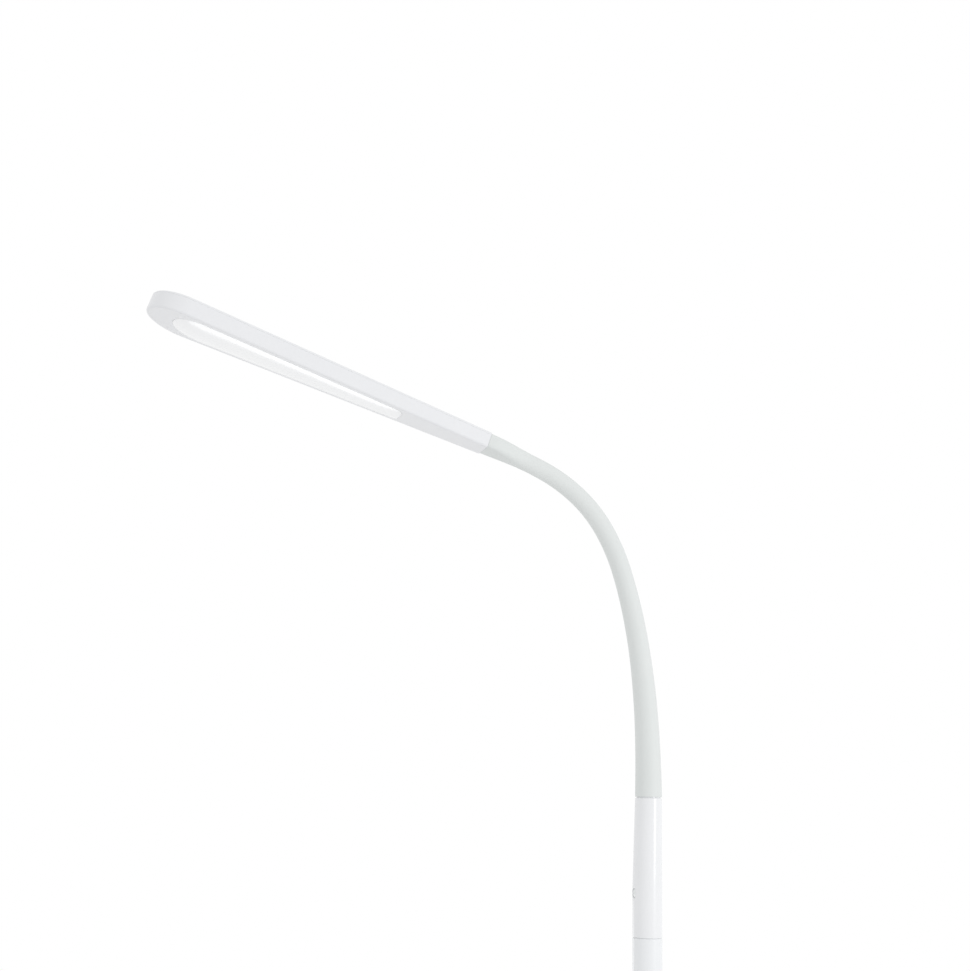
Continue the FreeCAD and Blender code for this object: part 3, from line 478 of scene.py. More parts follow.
def tube(outside_d: float, bore_d: float, low: float, high: float,
         steps: int = TUBE_STEPS) -> bmesh.types.BMesh:
    """Makes a round tube on the Z axis.

    Args:
        outside_d: Its outer diameter, in millimetres.
        bore_d: Its bore.
        low: The height of its foot, in millimetres.
        high: The height of its top.
        steps: How many faces go round.

    Returns:
        A closed mesh, in metres.
    """
    outer, inner = outside_d / 2, bore_d / 2
    return lathe([(inner, low), (outer, low), (outer, high), (inner, high)], steps)


def merge(bm: bmesh.types.BMesh, other: bmesh.types.BMesh, place: Matrix) -> None:
    """Adds another mesh.

    Args:
        bm: The mesh to add to.
        other: The mesh to add, which is freed.
        place: Where the added mesh goes.
    """
    bmesh.ops.transform(other, matrix=place, verts=other.verts)
    mesh = as_mesh(other, "part")
    bm.from_mesh(mesh)
    bpy.data.meshes.remove(mesh)


def along_y(x: float, z: float, to_front: bool = False) -> Matrix:
    """Gives the place of a mesh whose Z axis is laid along Y.

    Args:
        x: How far it stands to the side, in millimetres.
        z: How high it is, in millimetres.
        to_front: Whether its top points to the front and not to the rear.

    Returns:
        The place, in metres.
    """
    turn = math.pi / 2 if to_front else -math.pi / 2
    return Matrix.Translation((x * MM, 0, z * MM)) @ Matrix.Rotation(turn, 4, "X")


def make_piece(bm: bmesh.types.BMesh, name: str, finish: Finish, nodes: list[str], sharp: float = 35.0,
               place: Matrix | None = None) -> bpy.types.Object:
    """Turns a mesh into a finished piece that stands for nodes of the working model.

    Args:
        bm: The mesh, which is freed.
        name: The piece's name.
        finish: Its finish.
        nodes: The nodes it stands for.
        sharp: Edges that turn by more than this many degrees stay crisp.
        place: Where the mesh goes, if it was made elsewhere.

    Returns:
        The piece, which rides on nothing yet.
    """
    if place is not None:
        bmesh.ops.transform(bm, matrix=place, verts=bm.verts)
    mesh = as_mesh(bm, name)
    mesh.shade_smooth()
    mesh.set_sharp_from_angle(angle=math.radians(sharp))
    mesh.materials.append(finish.material())
    piece = add_object(name, mesh)
    flats = piece.modifiers.new("flat faces stay flat", "WEIGHTED_NORMAL")
    flats.keep_sharp = True
    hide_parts(*nodes)
    LOG.info("%s: %d faces, %s", name, len(mesh.polygons), finish.name)
    return piece


@dataclass(frozen=True)
class Route:
    """A line through points, with its corners eased over a short reach, in millimetres."""

    points: tuple[tuple[float, float, float], ...]
    reach: float
    sides: int = 16
    squareness: float = 3.0

    def at(self, share: float) -> tuple[Vector, Vector]:
        """Finds a place on the route.

        Args:
            share: How far along it is, from 0 to 1.

        Returns:
            The point and the direction there.
        """
        points = [Vector(p) for p in self.points]
        runs = [b - a for a, b in zip(points, points[1:])]
        left = share * sum(run.length for run in runs)
        for i, run in enumerate(runs):
            if left <= run.length or i == len(runs) - 1:
                break
            left -= run.length
        here = points[i] + run.normalized() * left
        direction = run.normalized()
        for corner, before, after in zip(points[1:], runs, runs[1:]):
            past = (here - corner).length
            if past < self.reach:
                side = 1.0 if i and corner == points[i] else -1.0
                t = (1.0 + side * past / self.reach) / 2
                start = corner - before.normalized() * self.reach
                end = corner + after.normalized() * self.reach
                here = start * (1 - t) ** 2 + corner * 2 * t * (1 - t) + end * t ** 2
                direction = ((corner - start) * (1 - t) + (end - corner) * t).normalized()
                break
        return here, direction

    def lead(self, width: float, thickness: float, bands: int) -> bmesh.types.BMesh:
        """Makes a flat two-core lead along the route, which lies in the plane x = 0.

        Args:
            width: Its width, in millimetres.
            thickness: Its thickness, in millimetres.
            bands: How many rings of faces go along.

        Returns:
            A closed mesh.
        """
        def surface(share: float, angle: float) -> Vector:
            """Gives a point of the jacket.

            Args:
                share: How far along the route it is, from 0 to 1.
                angle: Its direction round the route.

            Returns:
                The point, in metres.
            """
            here, direction = self.at(share)
            side = Vector((1, 0, 0))
            section = rounded_section(width / 2, thickness / 2, self.squareness, angle)
            return (here + side * section.x + direction.cross(side) * section.y) * MM

        return skin(surface, bands, self.sides)


# ------------------------------------------------------------------ base
@dataclass
class WeightedBase:
    """The round base: a ribbed cover, a foam pad and the supply lead inside."""

    diameter: float = 250.0
    height: float = 24.0
    wall: float = 1.6
    edge_r: float = 3.5
    lip_r: float = 0.5
    pad_t: float = 2.0
    pad_d: float = 238.0
    pad_edge_r: float = 0.6
    weight_top: float = 11.0
    stem_d: float = 12.2
    rib_count: int = 8
    rib_t: float = 1.6
    boss_d: float = 24.0
    boss_lift: float = 8.0
    screw_count: int = 4
    first_screw: float = 45.0
    screw_boss_d: float = 9.0
    screw_ring_d: float = 180.0
    screw_hole_d: float = 3.5
    jack_z: float = 15.0
    jack_hole_d: float = 7.8
    lead_w: float = 3.0
    lead_t: float = 2.0
    lead_bands: int = 220
    lead_route: Route = Route(((0, 110.1, 15), (0, 4, 15), (0, 0, 19), (0, 0, 949)), 2.0)

    def cover(self) -> bpy.types.Object:
        """Makes the moulded cover: a shell with a rounded edge, ribs, bosses and the inlet's hole.

        Returns:
            The piece.
        """
        radius = self.diameter / 2
        stem_r = self.stem_d / 2
        inner = radius - self.wall
        roof = self.height - self.wall
        bm = lathe([(stem_r, self.height), (radius, self.height), (radius, self.pad_t),
                    (inner, self.pad_t), (inner, roof), (stem_r, roof)], COVER_STEPS)
        rims = ((self.height, self.edge_r, BROAD_EDGE), (self.pad_t, self.lip_r, FINE_EDGE))
        for z, width, segments in rims:
            rim = [e for e in outer_rims(bm, radius) if abs(e.verts[0].co.z - z * MM) < NEAR * MM]
            soften(bm, rim, width, segments)
        hole = bar(self.jack_hole_d, radius - 3 * self.wall, radius + self.wall)
        bmesh.ops.transform(hole, verts=hole.verts, matrix=along_y(0, self.jack_z))
        bm = carve(bm, hole)
        for i in range(self.rib_count):
            rib = bmesh.new()
            start, end = self.boss_d / 2, radius - 2 * self.wall
            size = Matrix.Diagonal((self.rib_t * MM, (end - start) * MM, (roof - self.weight_top) * MM, 1.0))
            bmesh.ops.create_cube(rib, size=1.0, matrix=Matrix.Translation(
                (0, (start + end) / 2 * MM, (roof + self.weight_top) / 2 * MM)) @ size)
            merge(bm, rib, Matrix.Rotation(math.tau * (i + 0.5) / self.rib_count, 4, "Z"))
        hub = tube(self.boss_d, self.stem_d, self.weight_top + self.boss_lift, roof, BORE_STEPS)
        merge(bm, hub, Matrix())
        for i in range(self.screw_count):
            turn = Matrix.Rotation(math.radians(self.first_screw + 360 / self.screw_count * i), 4, "Z")
            boss = tube(self.screw_boss_d, self.screw_hole_d, self.weight_top, roof, PIN_STEPS)
            merge(bm, boss, turn @ Matrix.Translation((self.screw_ring_d / 2 * MM, 0, 0)))
        return make_piece(bm, "base_shell", SATIN_SHELL, ["base_cover"])

    def pad(self) -> bpy.types.Object:
        """Makes the foam disc under the base, with its edge pressed round.

        Returns:
            The piece.
        """
        bm = lathe([(0, 0), (self.pad_d / 2, 0), (self.pad_d / 2, self.pad_t), (0, self.pad_t)], DRUM_STEPS)
        soften(bm, sharp_edges(bm), self.pad_edge_r)
        return make_piece(bm, "foam_pad", FOAM, ["base_pad"])

    def build(self) -> None:
        """Makes the base's pieces and fixes them to the root."""
        jacket = self.lead_route.lead(self.lead_w, self.lead_t, self.lead_bands)
        lead = make_piece(jacket, "supply_lead", PVC_JACKET, ["power_lead"], sharp=60)
        pad = self.pad()
        for piece in (self.cover(), pad, lead):
            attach(piece, "root")


# ------------------------------------------------------------------ pole
@dataclass
class Pole:
    """Three powder-coated tubes that stand on each other."""

    foot: float = 24.0
    length: float = 300.0
    diameter: float = 24.0
    wall: float = 1.2
    end_r: float = 0.9
    names: tuple[str, ...] = ("lower_pole", "middle_pole", "upper_pole")

    def build(self) -> None:
        """Makes each tube, its ends slightly rounded so that the seams read as fine lines."""
        for i, name in enumerate(self.names):
            low = self.foot + i * self.length
            bm = tube(self.diameter, self.diameter - 2 * self.wall, low, low + self.length)
            soften(bm, outer_rims(bm, self.diameter / 2), self.end_r)
            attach(make_piece(bm, name + "_tube", POWDER_COAT, [name]), "root")


# ------------------------------------------------------------------ control housing
@dataclass
class ControlHousing:
    """The glossy housing between pole and neck, with its push button in a shallow dish."""

    foot: float = 924.0
    length: float = 111.0
    taper_l: float = 70.0
    taper_rings: int = 12
    foot_d: float = 24.0
    top_d: float = 22.0
    bore_d: float = 18.6
    lean: float = 1.0
    rim_r: float = 0.6
    rebate_h: float = 0.9
    rebate_t: float = 1.3
    button_z: float = 958.5
    button_d: float = 7.4
    button_gap: float = 0.3
    hole_start: float = 4.0
    button_proud: float = 0.5
    button_dome_r: float = 14.0
    button_edge_r: float = 0.4
    dome_rings: int = 6
    edge_rings: int = 3
    flange_d: float = 9.2
    flange_t: float = 1.2
    plunger_d: float = 3.0
    dish_r: float = 16.0
    dish_depth: float = 1.1
    dish_bands: int = 96
    flange_y: float = -6.78
    plunger_y: float = -1.9

    def tapered(self, vert: Vector) -> Vector:
        """Moves a point of the straight tube to the tapered one, whose rear line stays straight.

        Args:
            vert: The point on the straight tube, in metres.

        Returns:
            Its place on the housing.
        """
        share = max(0.0, (vert.z / MM - self.foot - self.length + self.taper_l) / self.taper_l)
        if vert.xy.length < (self.bore_d / 2 + NEAR) * MM:
            return vert + Vector((0, self.lean * MM, 0))
        scale = 1 + (self.top_d / self.foot_d - 1) * share
        return Vector((vert.x * scale, vert.y * scale + self.lean * share * MM, vert.z))

    def shell(self) -> bpy.types.Object:
        """Makes the tapered tube, with a rebate under the neck, the dish, and the button's hole in it.

        Returns:
            The piece.
        """
        outer, inner = self.foot_d / 2, self.bore_d / 2
        top, taper = self.foot + self.length, self.foot + self.length - self.taper_l
        rings = [taper + self.taper_l * i / self.taper_rings for i in range(self.taper_rings)]
        shoulder = top - self.rebate_h
        bm = lathe([(outer, self.foot)] + [(outer, z) for z in rings]
                   + [(outer, shoulder), (outer - self.rebate_t, shoulder), (outer - self.rebate_t, top),
                      (inner, top), (inner, self.foot)], DRUM_STEPS)
        soften(bm, outer_rims(bm, outer), self.rim_r)
        for vert in bm.verts:
            vert.co = self.tapered(vert.co)
        front = along_y(0, self.button_z, to_front=True)
        hole = bar(self.button_d + 2 * self.button_gap, self.hole_start, self.foot_d, BORE_STEPS)
        bmesh.ops.transform(hole, matrix=front, verts=hole.verts)
        dish = bmesh.new()
        back = Matrix.Translation((0, (-outer - self.dish_r + self.dish_depth) * MM, 0))
        bmesh.ops.create_uvsphere(dish, u_segments=TUBE_STEPS, v_segments=self.dish_bands,
                                  radius=self.dish_r * MM, matrix=back @ front)
        shell = carve(carve(bm, dish), hole)
        return make_piece(shell, "control_shell", GLOSS_SHELL, ["control_housing"], sharp=20)

    def button(self) -> bpy.types.Object:
        """Makes the button: a domed cap, a flange behind the wall and a plunger.

        Returns:
            The piece.
        """
        face = self.foot_d / 2 - self.dish_depth + self.button_proud
        cap_r, flange_r = self.button_d / 2, self.flange_d / 2
        dome = []
        for i in range(self.dome_rings + 1):
            r = (cap_r - self.button_edge_r) * i / self.dome_rings
            dome.append((r, face - self.button_dome_r + math.sqrt(self.button_dome_r ** 2 - r ** 2)))
        rim = dome[-1][1]
        for i in range(self.edge_rings):
            a = math.pi / 2 * (i + 1) / self.edge_rings
            dome.append((cap_r - self.button_edge_r * (1 - math.sin(a)),
                         rim - self.button_edge_r * (1 - math.cos(a))))
        back, plunger_r = -self.flange_y, self.plunger_d / 2
        profile = [(0, -self.plunger_y), (plunger_r, -self.plunger_y), (plunger_r, back - self.flange_t),
                   (flange_r, back - self.flange_t), (flange_r, back), (cap_r, back)] + dome[::-1]
        place = along_y(0, self.button_z, to_front=True)
        cap = lathe(profile, BORE_STEPS)
        return make_piece(cap, "push_button", BUTTON_SATIN, ["control_button"], sharp=40, place=place)

    def build(self) -> None:
        """Makes the housing and its button, which rides on its own body."""
        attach(self.shell(), "root")
        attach(self.button(), "button")


# ------------------------------------------------------------------ neck
@dataclass
class Neck:
    """The bendable neck: a tapering silicone sleeve that flares into the head, and the lead inside it."""

    foot: tuple[float, float, float] = (0.0, 1.0, 1035.0)
    length: float = 352.0
    root_l: float = 40.0
    tip_l: float = 52.0
    turns: tuple[float, ...] = (2.0, 3.0, 3.5, 4.5, 5.5, 13.5, 18.5, 15.6, 5.6)
    bodies: tuple[str, ...] = ("root", "neck_1", "neck_2", "neck_3", "neck_4", "neck_5", "neck_6", "neck_7",
                               "head")
    foot_d: float = 22.0
    third_d: float = 17.6
    middle_d: float = 16.2
    slim_d: float = 15.3
    flare_l: float = 42.0
    flare_power: float = 5.0
    ferrule_w: float = 28.0
    ferrule_t: float = 13.6
    bore_d: float = 11.8
    rim_r: float = 0.5
    band_l: float = 1.5
    sides: int = 72
    blend_margin: float = 3.0
    lead_w: float = 2.4
    lead_t: float = 1.2
    lead_foot: float = 1010.0
    lead_in_head: float = 48.0
    lead_bend: float = 3.0
    lead_bands: int = 32

    def spans(self) -> list[float]:
        """Gives the length of each span of the neck."""
        span = (self.length - self.root_l - self.tip_l) / (len(self.turns) - 2)
        return [self.root_l] + [span] * (len(self.turns) - 2) + [self.tip_l]

    def place(self, s: float) -> Matrix:
        """Finds the neck's middle line.

        Args:
            s: The distance from the neck's foot along it, in millimetres.

        Returns:
            The place there, in millimetres, with Z along the neck.
        """
        here = Matrix.Translation(self.foot)
        for length, turn in zip(self.spans(), self.turns):
            run = min(s, length)
            angle = math.radians(turn) * run / length
            if run > 0:
                radius = run / angle
                step = Vector((0, -radius * (1 - math.cos(angle)), radius * math.sin(angle)))
                here = here @ Matrix.Translation(step) @ Matrix.Rotation(angle, 4, "X")
            s -= run
        return here

    def section(self, s: float) -> tuple[float, float, float]:
        """Gives the sleeve's section.

        Args:
            s: The distance from the sleeve's foot, in millimetres.

        Returns:
            Its half width, its half thickness and its squareness, as rounded_section takes them.
        """
        flare = self.length - self.flare_l
        if s > flare:
            t = (s - flare) / self.flare_l
            share = t * t * (3 - 2 * t)
            half = self.slim_d / 2
            wide = half + (self.ferrule_w / 2 - half) * share
            thick = half + (self.ferrule_t / 2 - half) * share
            return wide, thick, 2 + (self.flare_power - 2) * share
        stations = [(0, self.foot_d), (self.length / 3, self.third_d), (self.length / 2, self.middle_d),
                    (flare, self.slim_d)]
        for (s0, d0), (s1, d1) in zip(stations, stations[1:]):
            if s <= s1:
                break
        half = (d0 + (d1 - d0) * (s - s0) / (s1 - s0)) / 2
        return half, half, 2.0

    def sleeve(self, start: float, end: float, name: str) -> bpy.types.Object:
        """Makes one length of the sleeve.

        Args:
            start: Where it starts, from the neck's foot, in millimetres.
            end: Where it ends.
            name: The piece's name.

        Returns:
            The piece.
        """
        def outside(share: float, angle: float) -> Vector:
            """Gives a point of the sleeve's skin."""
            s = start + (end - start) * share
            return self.place(s) @ rounded_section(*self.section(s), angle) * MM

        def bore(share: float, angle: float) -> Vector:
            """Gives a point of the sleeve's bore."""
            s = start + (end - start) * share
            return self.place(s) @ rounded_section(self.bore_d / 2, self.bore_d / 2, 2.0, angle) * MM

        bm = skin(outside, round((end - start) / self.band_l), self.sides, bore)
        mid_wall = (self.bore_d + self.ferrule_t) / 4 * MM
        for s, is_end in ((start, start == 0), (end, end == self.length)):
            if is_end:
                plane = self.place(s).translation * MM
                normal = self.place(s).to_3x3() @ UP
                rim = [e for e in sharp_edges(bm)
                       if all(abs((v.co - plane).dot(normal)) < ON_PLANE for v in e.verts)
                       and (e.verts[0].co - plane).length > mid_wall]
                soften(bm, rim, self.rim_r)
        return make_piece(bm, name, SILICONE, ["neck_sleeve"], sharp=50)

    def lead(self, index: int, marks: list[float]) -> bpy.types.Object:
        """Makes the length of lead that crosses one joint.

        Args:
            index: The joint's number, from 0.
            marks: Where the joints are, from the neck's foot.

        Returns:
            The piece.
        """
        def point(s: float) -> Vector:
            """Gives the middle of the neck at a distance from its foot."""
            return self.place(s).translation

        corner = point(marks[index])
        if index == 0:
            before = [Vector((0, self.foot[1], self.lead_foot)), point(0)]
        else:
            before = [(corner + point(marks[index - 1])) / 2]
        if index == len(marks) - 1:
            after = [point(self.length), self.place(self.length) @ Vector((0, 0, self.lead_in_head))]
        else:
            after = [(corner + point(marks[index + 1])) / 2]
        route = Route(tuple(tuple(p) for p in before + [corner] + after), self.lead_bend)
        jacket = route.lead(self.lead_w, self.lead_t, self.lead_bands)
        return make_piece(jacket, f"neck_lead_{index + 1}", PVC_JACKET, ["neck_lead"], sharp=60)

    def build(self) -> None:
        """Makes sleeve and lead in lengths that each cross one joint, from mid-span to mid-span."""
        spans = self.spans()
        marks = [sum(spans[:i + 1]) for i in range(len(spans) - 1)]
        middles = [(a + b) / 2 for a, b in zip(marks, marks[1:])]
        half_span = spans[1] / 2
        for i, mark in enumerate(marks):
            start = 0.0 if i == 0 else middles[i - 1]
            end = self.length if i == len(marks) - 1 else middles[i]
            low = self.place(mark - half_span + self.blend_margin).translation * MM
            high = self.place(mark + half_span - self.blend_margin).translation * MM
            for piece in (self.sleeve(start, end, f"sleeve_{i + 1}"), self.lead(i, marks)):
                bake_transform(piece)


# ------------------------------------------------------------------ head
@dataclass(frozen=True)
class Plan:
    """A flat outline seen from below: a straight end, two tapering sides and a round tip, in millimetres."""

    end_half: float
    end_z: float
    tip_r: float
    tip_z: float
    corner_r: float = 0.0
    corner_steps: int = 10
    side_steps: int = 24
    tip_steps: int = 40

    def grown(self, by: float) -> "Plan":
        """Moves the outline outwards all round.

        Args:
            by: How far, in millimetres. It is negative to move inwards.

        Returns:
            The new outline.
        """
        beta = self.side_angle()
        foot_z = self.end_z - by
        foot_x = (self.tip_r + by - (foot_z - self.tip_z) * math.sin(beta)) / math.cos(beta)
        corner = self.corner_r + by if self.corner_r else 0.0
        return Plan(foot_x, foot_z, self.tip_r + by, self.tip_z, corner)

    def side_angle(self) -> float:
        """Gives the angle of the sides' normal, where the sides are tangent to the round tip."""
        dz = self.end_z - self.tip_z
        return math.atan2(dz, self.end_half) + math.acos(self.tip_r / math.hypot(self.end_half, dz))

    def stations(self) -> list[tuple[float, float]]:
        """Lists places along the outline.

        Returns:
            Pairs of the place along the head and the half width there.
        """
        beta = self.side_angle()
        side = (self.tip_z + self.tip_r * math.sin(beta), self.tip_r * math.cos(beta))
        places = []
        first_z, first_half = self.end_z, self.end_half
        if self.corner_r:
            first_z += self.corner_r
            first_half += (side[1] - self.end_half) * self.corner_r / (side[0] - self.end_z)
            for i in range(self.corner_steps):
                a = math.pi / 2 * i / self.corner_steps
                places.append((first_z - self.corner_r * math.cos(a),
                               first_half - self.corner_r * (1 - math.sin(a))))
        for i in range(self.side_steps):
            share = i / self.side_steps
            places.append((first_z + (side[0] - first_z) * share,
                           first_half + (side[1] - first_half) * share))
        for i in range(self.tip_steps + 1):
            a = beta + (math.pi / 2 - beta) * i / self.tip_steps
            places.append((self.tip_z + self.tip_r * math.sin(a), self.tip_r * math.cos(a)))
        return places

    def sheet(self, across: int, height: Callable[[float, float, float], float]) -> bmesh.types.BMesh:
        """Makes a sheet of faces inside the outline.

        Args:
            across: How many faces go across it.
            height: The sheet's y for a place's x, z and half width.

        Returns:
            The open sheet, in metres.
        """
        places = self.stations()
        bm = bmesh.new()
        bmesh.ops.create_grid(bm, x_segments=across, y_segments=len(places) - 1, size=1.0)
        for vert in bm.verts:
            z, half = places[round((vert.co.y + 1) / 2 * (len(places) - 1))]
            x = vert.co.x * half
            vert.co = Vector((x, height(x, z, half), z)) * MM
        clean(bm)
        return bm

    def prism(self, low: Height, high: Height) -> bmesh.types.BMesh:
        """Makes a prism with this outline between two heights that may slope along the head.

        Args:
            low: The y of its lower face at a place along the head.
            high: The y of its upper face.

        Returns:
            A closed mesh, in metres, with one face below and one above.
        """
        bm = self.sheet(1, lambda x, z, half: low(z))
        bmesh.ops.dissolve_faces(bm, faces=bm.faces, use_verts=False)
        set_depth(bmesh.ops.extrude_face_region(bm, geom=list(bm.faces))["geom"], high)
        bmesh.ops.recalc_face_normals(bm, faces=bm.faces)
        return bm


@dataclass
class Head:
    """The long flat head: a tray with a light window, a lid, and a crowned opal lens."""

    place: Matrix
    length: float = 295.0
    tip_r: float = 31.0
    ferrule_w: float = 28.0
    ferrule_t: float = 13.6
    tip_t: float = 15.6
    wall: float = 1.8
    floor_t: float = 2.0
    edge_r: float = 2.0
    end_r: float = 0.4
    lid_t: float = 2.0
    seam_r: float = 0.15
    lip_t: float = 1.2
    lip_l: float = 1.4
    gap: float = 0.1
    window: Plan = Plan(13.0, 75.0, 24.0, 248.5, 5.0)
    window_bevel: float = 0.25
    lens_crown_r: float = 180.0
    lens_rim: float = 0.25
    flange: float = 3.0
    flange_t: float = 1.5
    post_d: float = 6.0
    post_y: float = 3.4
    post_count: int = 4
    mouth_w: float = 7.2
    mouth_t: float = 6.2
    boss_d: float = 6.4
    boss_x: float = 5.0
    boss_z: float = 22.8
    boss_top: float = -3.0
    rim_turn: float = 0.5
    lens_bands: int = 24
    lens_edge_deg: float = 45.0
    plan: Plan = field(init=False)

    def __post_init__(self) -> None:
        """Works out the outline from the sizes."""
        self.plan = Plan(self.ferrule_w / 2, 0.0, self.tip_r, self.length - self.tip_r)

    def under(self, z: float) -> float:
        """Gives the y of the underside."""
        return -self.ferrule_t / 2

    def floor(self, z: float) -> float:
        """Gives the y of the tray's floor inside."""
        return self.under(z) + self.floor_t

    def roof(self, z: float) -> float:
        """Gives the y of the top face, which rises towards the tip."""
        return self.ferrule_t / 2 + (self.tip_t - self.ferrule_t) * z / self.length

    def seam(self, z: float) -> float:
        """Gives the y where tray and lid meet."""
        return self.roof(z) - self.lid_t

    def rim(self, bm: bmesh.types.BMesh, height: Height) -> list[bmesh.types.BMEdge]:
        """Finds the outer edges at one height, without the straight one at the ferrule.

        Args:
            bm: The mesh.
            height: The y of the edges at a place along the head.

        Returns:
            The edges.
        """
        def on_rim(vert: bmesh.types.BMVert) -> bool:
            """Tells whether a point is at that height."""
            return abs(vert.co.y - height(vert.co.z / MM) * MM) < ON_PLANE

        return [e for e in bm.edges if all(on_rim(v) for v in e.verts) and e.is_manifold
                and e.calc_face_angle() > self.rim_turn and any(v.co.z > ON_PLANE for v in e.verts)]

    def end_rim(self, bm: bmesh.types.BMesh) -> list[bmesh.types.BMEdge]:
        """Finds the sharp edges round the flat end at the ferrule."""
        return [e for e in sharp_edges(bm) if all(abs(v.co.z) < ON_PLANE for v in e.verts)]

    def tray(self) -> bpy.types.Object:
        """Makes the tray: floor, walls, window, the neck's mouth and its screw bosses.

        Returns:
            The piece.
        """
        bm = self.plan.prism(self.under, self.seam)
        soften(bm, self.rim(bm, self.under), self.edge_r, HEAD_EDGE)
        soften(bm, self.rim(bm, self.seam), self.seam_r, SEAM_EDGE)
        top = max(bm.faces, key=lambda f: f.normal.y * f.calc_area())
        bmesh.ops.inset_region(bm, faces=[top], thickness=(self.wall - self.seam_r) * MM,
                               use_even_offset=True)
        sunk = bmesh.ops.extrude_face_region(bm, geom=[top])["geom"]
        bmesh.ops.delete(bm, geom=[top], context="FACES")
        set_depth(sunk, self.floor)
        window = self.window
        bm = carve(bm, window.prism(lambda z: self.under(z) - OVERCUT, lambda z: self.floor(z) + OVERCUT))
        first, last = (window.end_z - NEAR) * MM, (window.tip_z + window.tip_r + NEAR) * MM
        lower = [e for e in self.rim(bm, self.under) if all(first < v.co.z < last for v in e.verts)]
        soften(bm, lower, self.window_bevel)
        soften(bm, self.end_rim(bm), self.end_r)
        mouth = bmesh.new()
        bmesh.ops.create_cube(mouth, size=1.0, matrix=Matrix.Diagonal(
            (self.mouth_w * MM, self.mouth_t * MM, 4 * self.wall * MM, 1.0)))
        bm = carve(bm, mouth)
        for side in (-1, 1):
            boss = bar(self.boss_d, self.floor(0), self.boss_top, PIN_STEPS)
            merge(bm, boss, along_y(side * self.boss_x, self.boss_z))
        return make_piece(bm, "head_tray_shell", SATIN_SHELL, ["head_tray"], place=self.place)

    def lid(self) -> bpy.types.Object:
        """Makes the lid with its locating lip and posts.

        Returns:
            The piece.
        """
        bm = self.plan.prism(self.seam, self.roof)
        soften(bm, self.rim(bm, self.roof), self.edge_r - self.seam_r, HEAD_EDGE)
        soften(bm, self.rim(bm, self.seam), self.seam_r / 2, SEAM_EDGE)
        soften(bm, self.end_rim(bm), self.end_r)
        lip = self.plan.grown(-self.wall - self.gap).prism(lambda z: self.seam(z) - self.lip_l, self.seam)
        inner = self.plan.grown(-self.wall - self.gap - self.lip_t)
        merge(bm, carve(lip, inner.prism(lambda z: self.seam(z) - 2 * self.lip_l, self.roof)), Matrix())
        first = self.window.end_z + self.post_d
        for i in range(self.post_count):
            z = first + (self.window.tip_z - first) * i / (self.post_count - 1)
            merge(bm, bar(self.post_d, self.post_y, self.seam(z), PIN_STEPS), along_y(0, z))
        return make_piece(bm, "head_lid", SATIN_SHELL, ["head_cover"], place=self.place)

    def lens(self) -> bpy.types.Object:
        """Makes the opal lens: its edges are level with the underside and its middle is crowned.

        Returns:
            The piece.
        """
        def crown(x: float, z: float, half: float) -> float:
            """Gives the y of the lens's face."""
            return self.under(z) - (half ** 2 - x ** 2) / (2 * self.lens_crown_r)

        bm = self.window.grown(-self.gap).sheet(self.lens_bands, crown)
        rim = [e for e in bm.edges if e.is_boundary]
        set_depth(bmesh.ops.extrude_edge_only(bm, edges=rim)["geom"], self.floor)
        bmesh.ops.holes_fill(bm, edges=[e for e in bm.edges if e.is_boundary], sides=0)
        bmesh.ops.recalc_face_normals(bm, faces=bm.faces)
        level = (self.under(0) + NEAR) * MM
        edge = [e for e in sharp_edges(bm, self.lens_edge_deg) if all(v.co.y < level for v in e.verts)]
        soften(bm, edge, self.lens_rim)
        flange = self.window.grown(self.flange).prism(self.floor, lambda z: self.floor(z) + self.flange_t)
        merge(bm, flange, Matrix())
        return make_piece(bm, "opal_lens", OPAL_LENS, ["diffuser"], sharp=40, place=self.place)

    def build(self) -> None:
        """Makes the head's pieces, which move with the end of the neck."""
        for piece in (self.tray(), self.lid(), self.lens()):
            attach(piece, "head")


# ------------------------------------------------------------------ pieces that keep their worked shape
@dataclass
class WorkingParts:
    """The parts that keep the shape of the working model and get their finish here."""

    finishes: dict[str, Finish] = field(default_factory=lambda: {
        "base_weight": SEALED_IRON, "base_screws": ZINC, "base_stem": ZINC, "stem_washer": ZINC,
        "stem_nut": ZINC, "power_jack": BLACK_NYLON, "lower_pole_joiner": TURNED_ALUMINIUM,
        "middle_pole_joiner": TURNED_ALUMINIUM, "upper_pole_joiner": TURNED_ALUMINIUM,
        "switch_body": BLACK_NYLON, "switch_stem": NATURAL_NYLON, "switch_dome": ZINC,
        "control_board": SOLDER_MASK, "control_parts": BLACK_NYLON, "board_connectors": NATURAL_NYLON,
        "neck_root": TURNED_STEEL, "neck_tip": TURNED_STEEL, "reflector": CHAMBER_WHITE,
        "led_board": ROLLED_ALUMINIUM, "leds": PHOSPHOR, "led_socket": NATURAL_NYLON,
        "heat_spreader": ROLLED_ALUMINIUM, "head_screws": ZINC, "tongue_screws": ZINC})
    link_count: int = 7

    def build(self) -> None:
        """Gives each part its finish."""
        finishes = dict(self.finishes)
        finishes.update({f"neck_link_{i + 1}": TURNED_STEEL for i in range(self.link_count)})
        for name, finish in finishes.items():
            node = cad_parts[name]
            node.data.materials.clear()
            node.data.materials.append(finish.material())
            LOG.info("%s: %s", name, finish.name)


